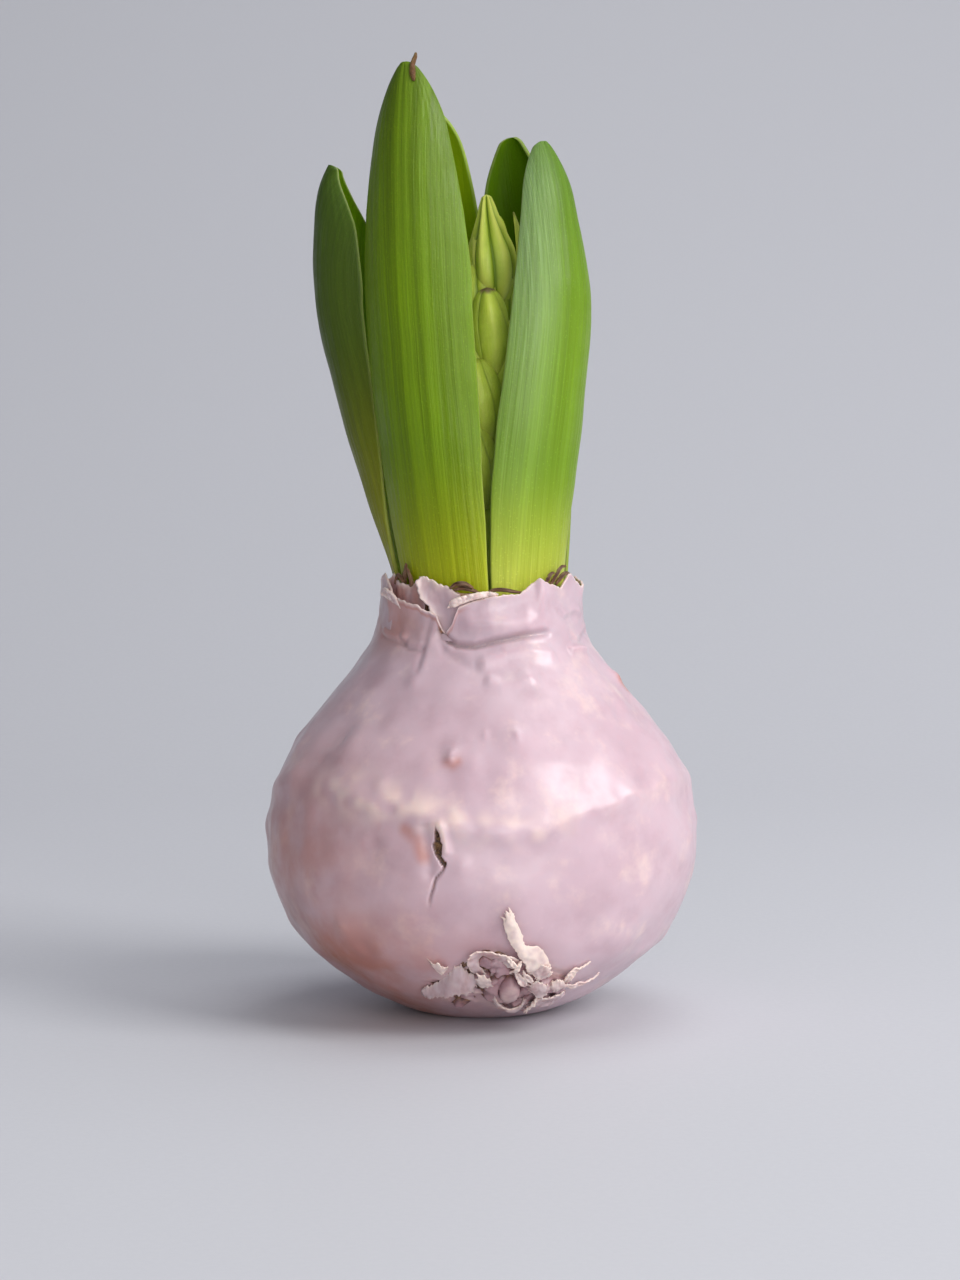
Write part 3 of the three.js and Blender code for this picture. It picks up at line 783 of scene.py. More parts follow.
@dataclass(frozen=True)
class BudFinish:
    """Closed green buds: yellow-green, with paler keels, darker grooves and some brown tips; the keels carry
    painted highlight and the grooves painted shade on top of their own colour.
    """

    name: str = "bud"
    green: tuple = srgb(200, 224, 68)
    keel: tuple = srgb(228, 236, 112)
    groove: tuple = srgb(112, 140, 24)
    foot: tuple = srgb(196, 208, 84)
    brown: tuple = srgb(120, 84, 72)

    def build(self, effects: Effects) -> bpy.types.Material:
        """Wires the finish.

        Args:
            effects: shared node groups.

        Returns:
            The material.
        """
        material, w, shader = new_material(self.name)
        place = w.place()
        across, along = w.attribute("across"), w.attribute("along")
        fine = effects.fibres(w, across, along, 26.0, 4.0)
        clouds = effects.clouds(w, place, 330.0, 0.35, 0.68)
        dots = effects.spots(w, place, 2600.0, 0.14)
        colour = w.blend(w.span(along, 0.05, 0.4), self.foot, self.green)
        colour = w.blend(w.times(fine, 0.35), colour, self.keel)
        colour = w.blend(w.times(clouds, 0.2), colour, self.groove)
        colour = w.blend(w.times(dots, 0.25), colour, self.keel)
        # Painted highlight on the keels and painted shade in the grooves, partly the tepals' own colour.
        colour = w.blend(w.attribute("keel"), colour, self.keel)
        colour = w.blend(w.attribute("groove"), colour, self.groove)
        colour = w.blend(w.attribute("dry"), colour, w.blend(fine, self.brown, srgb(92, 56, 58)))
        relief = w.plus(fine, effects.grit(w, place, 2200.0, 8000.0))
        bump = w.bump(relief, 0.4, 0.0001)
        rough = w.span(clouds, 0.0, 1.0, 0.34, 0.5)
        w.join(shader, {
            "Base Color": colour, "Roughness": rough, "Normal": bump, "IOR": 1.42,
            "Subsurface Weight": 0.25, "Subsurface Radius": (0.0012, 0.0016, 0.0004),
            "Subsurface Scale": 1.0, "Coat Weight": 0.12, "Coat Roughness": 0.25,
        })
        return material


@dataclass(frozen=True)
class SkinFinish:
    """The bulb's brown papery skin: fibrous, dull, pale along torn edges."""

    name: str = "papery skin"
    brown: tuple = srgb(128, 74, 40)
    dark: tuple = srgb(62, 31, 17)
    pale: tuple = srgb(212, 180, 146)

    def build(self, effects: Effects) -> bpy.types.Material:
        """Wires the finish.

        Args:
            effects: shared node groups.

        Returns:
            The material.
        """
        material, w, shader = new_material(self.name)
        place = w.place()
        across, along = w.attribute("across"), w.attribute("along")
        fine = effects.fibres(w, across, along, 3.0, 0.25)
        broad = effects.fibres(w, across, along, 0.8, 0.12)
        clouds = effects.clouds(w, place, 300.0, 0.35, 0.68)
        colour = w.blend(broad, self.brown, self.dark)
        colour = w.blend(w.times(fine, 0.35), colour, self.pale)
        colour = w.blend(w.times(clouds, 0.4), colour, self.dark)
        colour = w.blend(w.attribute("torn"), colour, self.pale)
        relief = w.plus(w.times(fine, 1.5), effects.grit(w, place, 1200.0, 6000.0))
        bump = w.bump(relief, 0.6, 0.0002)
        rough = w.span(clouds, 0.0, 1.0, 0.5, 0.72)
        w.join(shader, {"Base Color": colour, "Roughness": rough, "Normal": bump, "IOR": 1.4})
        return material


# The wax

# Half its width and its height, as shares of the overall width and height, from the flat spot to the neck.
WAX_OUTLINE = (
    (0.3, 0), (0.4, 0.016), (0.571, 0.057), (0.746, 0.12), (0.883, 0.191), (0.977, 0.3), (1, 0.4),
    (0.963, 0.526), (0.886, 0.611), (0.76, 0.69), (0.617, 0.777), (0.54, 0.8286),
)
WAX_SIZE = (35, 70)
FLAT_SPOT = 10.5
NECK_FOOT = 58
NECK_RADIUS = 16.3
NECK_FLARE = 2.6

# Knobs and dents: azimuth, height, width and how far they stand out.
WAX_BUMPS = (
    (-9.5, 44.9, 1.9, 0.85), (-9.5, 42.4, 2.4, -0.6), (11, 47.4, 2.4, 0.4), (24, 55.4, 2.6, 0.3),
    (62, 59.3, 2, 0.5), (80, 54.5, 2.6, 0.7), (38, 45, 6, 0.6), (62, 41.8, 5, 0.6), (-58, 42, 7, -0.6),
    (-34, 52, 6, -0.4), (12, 64.6, 3.6, 0.5), (-48, 20, 9, 0.6), (98, 24, 9, -0.6), (140, 40, 8, 0.6),
    (-150, 30, 9, 0.6), (178, 47, 7, -0.6), (-120, 46, 7, 0.5),
)
FINE_BUMPS = (
    (-9.4, 44.6, 0.8, 0.35), (11.4, 47.4, 0.7, 0.3), (1, 47.6, 0.6, 0.22), (56, 59.3, 1.5, 0.3),
    (35, 67.8, 2.6, 0.55), (22, 66.3, 3, 0.25), (79, 54.5, 0.9, 0.4), (-54, 42.5, 0.5, -0.2),
    (-50, 46, 0.5, -0.2), (-30, 56, 2.5, 0.2), (-66, 30, 2, 0.3), (48, 24, 2.2, 0.2), (70, 30, 2, 0.25),
    (-36, 14, 2.4, -0.3), (5, 52, 3, 0.16), (110, 52, 1.5, 0.4), (150, 26, 2, 0.4), (-170, 50, 1.6, 0.4),
    (-100, 35, 2, 0.4), (-140, 58, 1.5, 0.4),
)
SOFT_BUMPS = 190
SOFT_BUMP_STANDS = (-0.24, 0.14, 0.2, 0.28)

# The torn rim, the pale ridge over the crack, and the crack's two edges: azimuths and heights.
WAX_RIM = (
    (-180, 69.2), (-172, 69.5), (-158, 67.9), (-149, 68.4), (-145, 69.8), (-128, 70.4), (-122, 69.2),
    (-104, 68.6), (-99, 70.2), (-84, 69.4), (-74, 69.9), (-64, 67.4), (-52, 67.2), (-38, 66.5),
    (-26, 64.9), (-22.6, 62.7), (-21.2, 62.3), (-18.9, 62.8), (-16.3, 63.8), (-14.8, 65.1), (-13, 66.5),
    (-7, 67.1), (6, 68.1), (22, 68.6), (33, 70.8), (40, 69.9), (51, 69), (60, 71.3), (70, 70), (78, 68.9),
    (90, 69.6), (111, 69.9), (116, 68), (124, 67.4), (133, 70), (140, 70.6), (157, 70.1), (163, 68.7),
    (180, 69.2),
)
RIDGE = (
    (-50, 38.6), (-38, 38.2), (-28.1, 37.5), (-21, 36.7), (-14.9, 36.3), (-9, 35.6), (-3.1, 34.5),
    (2, 33.8), (8, 33.4), (14, 33.7), (20.5, 34.6), (30, 36), (39.6, 37.1), (54, 38.2), (69, 38.9),
)
CRACK_LEFT = ((27.9, -9.6), (29.0, -11.0), (30.0, -12.1), (31.1, -12.7), (32.4, -12.2), (34.2, -12.0))
CRACK_RIGHT = ((27.9, -9.2), (28.7, -9.0), (29.6, -10.2), (31.3, -10.1), (33.1, -10.8), (34.2, -11.8))
CRACK_LIP = ((-11.3, 34.6), (-10.2, 33.4), (-9.6, 31.8), (-9.5, 30.2))

# Brown spots in the wax: a line of azimuths and heights, its width and its strength. The first, a crescent
# just under the knob at 44.9 mm, is partly a brown mark and partly the knob's painted shadow.
BROWN_SPOTS = (
    (((-10.6, 43.7), (-8.6, 43.2), (-7.2, 43.8)), 0.8, 0.6),
    (((-20, 33.6), (-16.6, 32), (-15, 29.6)), 1.3, 0.7),
    (((79, 54), (81, 52.6)), 0.8, 0.9),
)


@dataclass(frozen=True)
class Crease:
    """A line in the wax that is pressed in or stands up.

    Attributes:
        path: azimuth and height of its corners.
        width: millimetres from its middle to where a third is left.
        depth: how far it is pressed in, in millimetres, negative where it stands up.
        lip: how far its upper side stands up beside it, in millimetres.
    """

    path: Stations
    width: float
    depth: float
    lip: float = 0.0

    def stand(self, azimuth: Array, height: Array, radius: Array) -> Array:
        """Gives how far the crease lifts the wax.

        Args:
            azimuth: degrees.
            height: millimetres.
            radius: millimetres.

        Returns:
            Lift in millimetres: one bell curve pressed in and one raised beside it, faded at the ends.
        """
        side, along = path_distance(self.path, azimuth, height, radius)
        ends = smooth_step(along, 0.0, 0.15) * (1 - smooth_step(along, 0.85, 1.0))
        sunk = -self.depth * bell(side, self.width)
        raised = self.lip * bell(side - 2 * self.width, 1.2 * self.width)
        return (sunk + raised) * ends


COLLAR_FOLD = Crease(
    ((-23.5, 62.8), (-22.2, 62), (-18.5, 61.1), (-14, 60.5), (-4.1, 60.4), (8.9, 61.3), (18.2, 61.8),
     (28.1, 62.1), (35, 62.2), (40, 62.2)),
    width=0.5, depth=0.95, lip=0.1)
CRACK_TAIL = Crease(
    ((-9.3, 28.4), (-9.9, 27.6), (-11.9, 26.2), (-12.4, 24.8), (-13.2, 23.4), (-13.9, 21.9)),
    width=0.2, depth=0.5, lip=0.06)
CREASES = (
    COLLAR_FOLD,
    Crease(((-4, 57.6), (4, 58.3), (12, 59.2), (22, 59.5), (32, 59.2), (40, 58.6)), 1.1, -0.6),
    Crease(((48, 59.2), (53, 59.3), (58, 59.3), (64.8, 59.2)), 0.55, -0.7),
    Crease(((0, 55.6), (8, 54.6), (15, 55), (24, 56.4)), 1.0, -0.4),
    Crease(((-72, 61.2), (-65.2, 60.8), (-54.9, 60.5), (-47.8, 60.4), (-42, 61)), 0.4, 0.35, 0.2),
    Crease(((-52, 61.4), (-49.9, 60.8), (-43, 59.7), (-36, 59.5), (-30, 60)), 0.4, 0.35, 0.2),
    Crease(((-27, 62), (-24.2, 61.2), (-19.9, 59.4), (-13, 58.3), (-5.5, 57.1), (2, 57)), 0.8, 0.25, 0.1),
    Crease(((-11.4, 35.2), (-10.3, 34.1), (-9.6, 32.7), (-9.1, 31), (-9, 29.6)), 0.62, -0.42),
    Crease(((-15, 35), (-14.5, 33.6), (-13.8, 30.6), (-13.1, 27.9), (-13.6, 25.4)), 1.0, 0.42),
    CRACK_TAIL,
    Crease(((52, 61.4), (60, 60.2), (72, 60.6), (86, 61.4), (98, 60.9)), 0.5, 0.4, 0.2),
    Crease(((104, 61.4), (122, 60.4), (139, 61), (158, 60.2), (176, 61)), 0.5, 0.4, 0.2),
    Crease(((-178, 60.6), (-160, 61.4), (-141, 60.6), (-118, 61.2), (-96, 60.4)), 0.5, 0.4, 0.2),
    Crease(((-34, 69), (-30, 64.5), (-33, 60), (-31, 55)), 0.6, 0.16, 0.1),
    Crease(((44, 66), (52, 64), (66, 64.4), (80, 63.6)), 0.5, 0.25, 0.15),
)


class WaxForm:
    """The shape of the dipped wax, and places on and off its surface."""

    def __init__(self) -> None:
        """Draws the outline and seeds the noise and the soft bumps."""
        outline = read_curve(WAX_OUTLINE, np.linspace(0, 1, 2000)) * WAX_SIZE
        self.radii, self.heights = outline[:, 0], outline[:, 1]
        self.noise = Noise(11)
        self.folded = Noise(12)
        draw = np.random.default_rng(13)
        self.soft_bumps = [
            (draw.uniform(-180, 180), draw.uniform(9, 56), draw.uniform(1.2, 3.2),
             draw.choice(SOFT_BUMP_STANDS))
            for _ in range(SOFT_BUMPS)]

    def radius(self, height: Array) -> Array:
        """Reads the plain outline: the curve up to the neck, and a neck whose flare fades over 3 mm.

        Args:
            height: millimetres.

        Returns:
            Radius in millimetres.
        """
        height = np.asarray(height)
        neck = NECK_RADIUS + NECK_FLARE * np.exp(-(height - NECK_FOOT) / 3)
        return np.where(height < NECK_FOOT, np.interp(height, self.heights, self.radii), neck)

    def normal(self, azimuth: Array, height: Array) -> Array:
        """Gives the plain outline's direction outwards.

        Args:
            azimuth: degrees.
            height: millimetres.

        Returns:
            Unit vectors, level where the outline is upright and turned down under the belly.
        """
        height = np.asarray(height, float)
        slope = (self.radius(height + 0.3) - self.radius(np.maximum(height - 0.3, 0))) / 0.6
        across = outward(np.broadcast_to(azimuth, height.shape))
        across[..., 2] = -slope
        return unit(across)

    def knobs(self, table: Stations, azimuth: Array, height: Array) -> Array:
        """Adds up round knobs and dents, each a bell curve on the unrolled surface.

        Args:
            table: azimuth, height, width and stand of each.
            azimuth: degrees.
            height: millimetres.

        Returns:
            How far they stand out in millimetres.
        """
        total = np.zeros(np.broadcast(azimuth, height).shape)
        for place, at, size, stand in table:
            aside = np.radians(turn_between(place, azimuth)) * float(self.radius(at))
            total += stand * np.exp(-(aside**2 + (height - at) ** 2) / size**2)
        return total

    def lump(self, azimuth: Array, height: Array) -> Array:
        """Adds up long waves round the bulb, a ridge round its belly, and knobs and dents.

        Args:
            azimuth: degrees.
            height: millimetres.

        Returns:
            How far the wax stands out, level, in millimetres.
        """
        a = np.radians(azimuth)
        ridge = 33.6 + 6 * np.sin(np.radians(1.5 * (azimuth - 6))) ** 2
        waves = 0.28 * np.sin(3 * a + 0.9 + height / 11) + 0.2 * np.sin(5 * a - height / 8)
        waves = waves + 0.16 * np.sin(2 * a + height / 5) + 0.5 * bell(height - ridge, 2)
        total = waves + self.knobs(WAX_BUMPS, azimuth, height)
        return total * smooth_step(height, 0.5, 9) * (1 - smooth_step(height, 60, 68))

    def surface(self, azimuth: Array, height: Array) -> Array:
        """Gives points on the wax before its fine detail."""
        return around_axis(azimuth, self.radius(height) + self.lump(azimuth, height), height)

    def lifted(self, azimuth: Array, height: Array, lift: Array) -> Array:
        """Gives points that stand off the wax, square to its outline, by a lift in millimetres."""
        return self.surface(azimuth, height) + self.normal(azimuth, height) * lift[..., None]

    def line(self, path: Stations, azimuth: Array, height: Array) -> tuple[Array, Array]:
        """Measures how far points are beside a line on the wax, and how far along it."""
        return path_distance(path, azimuth, height, self.radius(height))

    def crumple(self, azimuth: Array, height: Array) -> Array:
        """Marks where the wax is crumpled over the trimmed roots: an oval 60 degrees wide with a peak.

        Args:
            azimuth: degrees.
            height: millimetres.

        Returns:
            1 in the middle of the patch and 0 outside it.
        """
        across = turn_between(6, azimuth) / 30
        up = (height - 7 - 3.2 * bell(turn_between(2, azimuth), 9)) / 5.2
        return 1 - smooth_step(np.hypot(across, up), 0.55, 1.05)

    def crack(self, azimuth: Array, height: Array) -> Array:
        """Marks the crack at the front, between a left and a right edge.

        Args:
            azimuth: degrees.
            height: millimetres.

        Returns:
            1 inside it and 0 outside.
        """
        jag = 0.25 * self.noise.at(points_at(3, height, 0), 0.6)
        from_left = azimuth - read_line(CRACK_LEFT, height) - jag
        from_right = read_line(CRACK_RIGHT, height) - jag - azimuth
        ends = np.minimum(height - 28, 34.1 - height)
        return smooth_step(np.minimum(np.minimum(from_left, from_right) * 0.6, ends), -0.02, 0.14)

    def detail(self, azimuth: Array, height: Array) -> Array:
        """Adds up the fine relief: noise, small knobs, creases, the ridge, and folds at the roots and neck.

        Args:
            azimuth: degrees.
            height: millimetres.

        Returns:
            How far the wax stands off, square to its outline, in millimetres.
        """
        radius = self.radius(height)
        places = around_axis(azimuth, radius, height)
        total = 0.26 * self.noise.at(places, 11) + 0.13 * self.noise.at(places + 40, 5) - 0.2
        total += self.knobs(self.soft_bumps, azimuth, height) + self.knobs(FINE_BUMPS, azimuth, height)
        for crease in CREASES:
            total += crease.stand(azimuth, height, radius)
        side, along = self.line(RIDGE, azimuth, height)
        uneven = 0.6 + 0.9 * self.noise.at(places + 15, 3)
        ends = smooth_step(along, 0, 0.15) * (1 - smooth_step(along, 0.85, 1))
        total += 0.3 * uneven * bell(side, 2.1) * ends
        total += self.crumple(azimuth, height) * (0.4 * self.folded.folds(places, 3.4, 3) - 0.5)
        upright = self.folded.at(places * (1, 1, 0.4), 4.2)
        total += smooth_step(height, 59, 62) * (0.26 * upright + 0.08 * self.noise.at(places, 1.8))
        total += bell(turn_between(12, azimuth), 26) * bell(height - 63.9, 1.8)
        pleat_width = 2.4 + 0.5 * np.maximum(69 - height, 0)
        total += 0.5 * bell(turn_between(33.5, azimuth), pleat_width) * smooth_step(height, 64, 67.5)
        return total * smooth_step(height, 0.2, 3)


# The four values that the wax finish reads: cream, partly painted highlight; the crack's browns, also
# painted shade in creases and crevices; brown stains together with painted warm shade; and painted
# purple-brown shade.
WAX_SHADES = ("pale", "crack", "stain", "shade")


def wax_shades(grid: Array, **given: Array) -> dict[str, Array]:
    """Gives the four values that the wax finish reads, held between 0 and 1."""
    values = {label: np.broadcast_to(given.get(label, 0.0), grid.shape) for label in WAX_SHADES}
    return {label: np.clip(value, 0, 1) for label, value in values.items()}


@dataclass(frozen=True)
class Flap:
    """A flap of wax between two lines on the body.

    Attributes:
        outer: azimuth, height and lift along its first margin.
        inner: azimuth, height and lift along its second margin.
        bulge: how far its middle stands out in millimetres.
        thickness: millimetres.
        seed: number that fixes its teeth.
        pale: how cream it is.
        teeth: reach of the teeth in millimetres.
        rough: height of the folds on its face in millimetres.
    """

    outer: Stations
    inner: Stations
    bulge: float
    thickness: float
    seed: int
    pale: float
    teeth: float = 0.5
    rough: float = 0.12


@dataclass(frozen=True)
class Ribbon:
    """A ribbon of wax along a line on the body.

    Attributes:
        stations: azimuth, height, lift off the wax and width along the line.
        thickness: millimetres.
        curl: how far its edges turn up, as a share of the width.
        seed: number that fixes the frays.
        pale: how cream it is.
        fray: how ragged its edges are, as a share of the width.
        rows: corners along it.
    """

    stations: Stations
    thickness: float
    curl: float
    seed: int
    pale: float
    fray: float
    rows: int = 84


@dataclass(frozen=True)
class NeckSheet:
    """A loose sheet of wax in the neck.

    Attributes:
        left: azimuth of the left edge and height, from the foot up.
        top: azimuth and height of the top edge.
        foot: height of the foot.
        inset: how far the sheet stands inside the plain neck in millimetres.
        thickness: millimetres.
        curl: how far the left edge rolls outwards in millimetres.
        seed: number that fixes the jags.
        tan: how brown it is.
    """

    left: Stations
    top: Stations
    foot: float
    inset: float
    thickness: float
    curl: float
    seed: int
    tan: float = 0.2


NECK_SHEETS = (
    NeckSheet(
        ((-26, 60.8), (-27.9, 65.4), (-31.2, 66.2), (-36.6, 67.6), (-39.5, 69.1), (-40.3, 71)),
        ((-44, 70.9), (-40.3, 70.9), (-36.1, 70.9), (-27.5, 70.2), (-19.6, 69), (-14.4, 68.3), (-2, 67.9),
         (8, 67.2)),
        foot=60.9, inset=1.2, thickness=0.34, curl=1.2, seed=31),
    NeckSheet(
        ((-80, 60.8), (-76, 66), (-73, 70)),
        ((-84, 69.2), (-73, 69.8), (-68.3, 71), (-57.7, 69.6), (-48.9, 69.4), (-42.6, 70.2), (-36, 68.6)),
        foot=60.9, inset=1.25, thickness=0.3, curl=0.3, seed=32, tan=0.7),
    NeckSheet(
        ((-88, 62), (-86, 66), (-83, 69)),
        ((-92, 68.6), (-86, 69.4), (-80, 70.6), (-73, 70.9), (-66, 69.4), (-60, 67.6)),
        foot=62, inset=0.35, thickness=0.34, curl=0.3, seed=33, tan=0.45),
)
NECK_ROLLS = (
    Ribbon(
        ((-17.2, 66.4, 0.1, 0.9), (-15.6, 66.9, 0.2, 1.3), (-11, 67.5, 0.25, 1.2),
         (-3.8, 68.1, 0.25, 1.0), (2, 68.4, 0.15, 0.9), (9, 68.5, 0, 0.4)),
        thickness=0.55, curl=0.1, seed=41, pale=0.45, fray=0.06, rows=90),
    Ribbon(
        ((-74, 67.8, -0.1, 0.8), (-67, 68.1, 0.2, 1.3), (-60, 67.7, 0.25, 1.4), (-55, 66.9, 0.15, 1.1),
         (-52.6, 66, -0.1, 0.6)),
        thickness=0.5, curl=0.3, seed=42, pale=0.25, fray=0.12, rows=70),
)
ROOT_FLAPS = (
    Flap(
        ((5.1, 20.4, 0.4), (5.8, 18.8, 0.6), (7.2, 16.8, 0.8), (9.1, 15.1, 1.1), (11.2, 13.8, 1.6),
         (12.8, 12.3, 1.6), (14.6, 11.6, 0.9)),
        ((7.6, 21.6, 0.5), (8.6, 20, 0.7), (10.5, 17.7, 0.8), (11.8, 16.2, 0.9), (15.2, 15.8, 0.8),
         (18.5, 13.9, 0.7), (21, 11.6, 0.4)),
        bulge=0.3, thickness=0.24, seed=51, pale=0.8, teeth=0.24, rough=0.07),
    Flap(
        ((14.6, 13.8, 1.0), (17, 13, 1.2), (19.6, 12, 1.1), (21.4, 10.6, 0.6)),
        ((14.4, 11.4, 1.2), (15.4, 11, 1.5), (16.2, 10.8, 1.4), (17.6, 10.4, 1.1)),
        bulge=0.1, thickness=0.24, seed=59, pale=0.4, teeth=0.6, rough=0.14),
    Flap(
        ((-2, 10.6, 0.1), (-3.8, 12.2, 0.6), (-3.9, 13.6, 1.2), (-3.1, 14.8, 1.5), (-1.6, 15.5, 1.5),
         (1.2, 15.6, 1.5), (3.8, 15.3, 1.5), (6.1, 14.6, 1.3), (9.4, 13.8, 1.0), (10.7, 13, 0.5)),
        ((2.4, 9.6, 0.3), (1.6, 11, 0.6), (-0.3, 12.2, 0.2), (-0.8, 13.2, 0), (0.2, 13.9, -0.1),
         (1.7, 13.7, 0.1), (3.5, 13.3, 0.4), (5.9, 12.8, 0.6), (8.3, 12.2, 0.6), (9.8, 11.9, 0.3)),
        bulge=-0.1, thickness=0.26, seed=52, pale=0.22, teeth=0.5, rough=0.1),
    Flap(
        ((-1.4, 11.6, 1.3), (0.2, 11.8, 1.4), (1.6, 11.4, 1.4), (2.8, 10.4, 1.2)),
        ((-1.8, 10.2, 1.0), (0, 9.6, 1.3), (1.6, 9.4, 1.3), (3, 9.2, 1.0)),
        bulge=0.2, thickness=0.24, seed=60, pale=0.6, teeth=0.7),
    Flap(
        ((-21.9, 7, 0.1), (-16.7, 8.2, -0.1), (-12, 9.6, -0.2), (-8.8, 11.4, -0.2), (-6.7, 11.9, -0.2),
         (-4.4, 11, -0.1), (-1.6, 10.4, 0)),
        ((-22.8, 6, 0.5), (-18.5, 6.5, 0.9), (-14, 7.2, 1.3), (-10.5, 7.9, 1.5), (-7.2, 8.2, 1.6),
         (-4.4, 8.3, 1.6), (-1.8, 9.4, 1.2)),
        bulge=0.35, thickness=0.3, seed=53, pale=0.2, teeth=0.75, rough=0.035),
    Flap(
        ((-14.7, 12.6, 0.2), (-12.5, 12.8, 0.6), (-11.4, 12.2, 0.6), (-9.7, 12, 0.3)),
        ((-14.4, 12.2, 0.2), (-13.5, 11.3, 0.5), (-11.8, 10.9, 0.5), (-10, 11.6, 0.2)),
        bulge=0.1, thickness=0.22, seed=54, pale=0.7, teeth=0.7, rough=0.06),
    Flap(
        ((21.4, 9.8, 1.1), (23.5, 10.2, 1.3), (26.9, 9.6, 1.0)),
        ((22.4, 8.8, 1.3), (25.4, 8.2, 1.5), (28.1, 8.8, 1.0)),
        bulge=0.35, thickness=0.3, seed=61, pale=0.45),
    Flap(
        ((14.7, 9.8, 1.3), (16.5, 10.4, 1.5), (19.3, 10, 1.5), (21.5, 9.4, 1.2)),
        ((15.7, 8.6, 1.5), (18.6, 7.8, 1.8), (21.3, 8, 1.7), (22.3, 8.8, 1.3)),
        bulge=0.2, thickness=0.3, seed=62, pale=0.3, teeth=0.6),
    Flap(
        ((4.3, 7.2, 0.8), (6.7, 6, 1.4), (10.8, 5.5, 1.8), (14.1, 6, 1.6), (14.6, 7.2, 1.2)),
        ((3.7, 6.4, 0.7), (7.2, 4.9, 1.2), (12, 4.5, 1.5), (15.4, 5, 1.3), (15.8, 6.4, 1.1)),
        bulge=0.15, thickness=0.3, seed=63, pale=0.2, teeth=0.3),
    Flap(
        ((18.4, 7, 1.4), (21.5, 7.4, 1.7), (25.8, 7.6, 1.5), (30.2, 7.4, 0.7)),
        ((18.6, 4.8, 1.1), (22.6, 5, 1.4), (27.4, 5.2, 1.2), (31.6, 5.8, 0.5)),
        bulge=0.25, thickness=0.3, seed=64, pale=0.12, teeth=0.6, rough=0.16),
)
ROOT_SLIVERS = (
    Ribbon(
        ((28.4, 8.6, 0.3, 0.9), (28, 10, 0.7, 1.4), (29, 10.9, 0.6, 1.2), (31.4, 11, 0.4, 0.7),
         (34.6, 11.9, 0.2, 0.3)),
        thickness=0.3, curl=0.2, seed=55, pale=0.6, fray=0.2),
    Ribbon(
        ((30, 7.4, 0, 0.9), (34, 7.7, 0.3, 0.9), (39.5, 8.2, 0.3, 0.7), (43.3, 9.2, 0.1, 0.3)),
        thickness=0.3, curl=0.2, seed=56, pale=0.3, fray=0.2),
    Ribbon(((17.7, 4.6, 1.5, 0.5), (18, 6, 1.9, 0.7), (18.4, 7.6, 1.9, 0.5)), 0.3, 0.2, 65, 0.6, 0.15),
    Ribbon(
        ((6.6, 14.4, 1.0, 0.4), (8.4, 13.6, 1.6, 0.8), (10.5, 12.6, 1.4, 0.4)),
        thickness=0.3, curl=0.3, seed=57, pale=0.6, fray=0.3),
    Ribbon(((8.6, 12, 1.2, 0.4), (9.8, 13, 1.6, 0.7), (10.7, 14, 1.3, 0.3)), 0.3, 0.3, 58, 0.55, 0.3),
    Ribbon(
        ((11.6, 12, 1.2, 0.5), (13.4, 11.2, 1.5, 0.9), (15.4, 10.2, 1.3, 0.5)),
        thickness=0.32, curl=0.3, seed=66, pale=0.4, fray=0.25),
    Ribbon(
        ((9.9, 11.6, 1.0, 0.5), (11.8, 10.8, 1.6, 1.1), (13.5, 9.7, 1.4, 0.6)),
        thickness=0.32, curl=0.3, seed=67, pale=0.35, fray=0.25),
)

# Chips over the roots, and hollows between them: azimuth, height, reach, and stand or depth.
ROOT_CHIPS = (
    (19.5, 8.6, 1.7, 1.2), (26.3, 8.2, 1.5, 1.0), (26.6, 5.2, 1.9, 0.9), (16, 5.2, 2, 1.1),
    (2.4, 5.4, 2.4, 0.9), (-6, 4.3, 2.2, 0.6), (-13, 3.9, 1.8, 0.4), (6, 11.6, 1.5, 0.9),
    (22.4, 6.2, 1.6, 1.1), (4.4, 8.8, 1.8, 0.9), (12.6, 10.8, 1.3, 1.1), (31, 5.4, 1.4, 0.6),
    (15.4, 9.2, 1.2, 1.1), (-18, 3.6, 1.4, 0.2), (23.4, 10, 1.1, 0.6),
)
SEEDED_CHIPS = 80
ROOT_HOLLOWS = (
    (-0.9, 7.9, 0.9, 1.6), (-1.2, 5.8, 0.8, 1.4), (0.6, 4, 0.8, 1.2), (16.4, 11.6, 0.8, 1.2),
    (6.4, 10.8, 0.6, 1), (21, 11.6, 0.9, 0.8), (23.6, 3.8, 0.8, 0.8),
)
ROOT_KNOB = (9.1, 8.3)
ROOT_KNOB_SIZE = (1.35, 2.3)


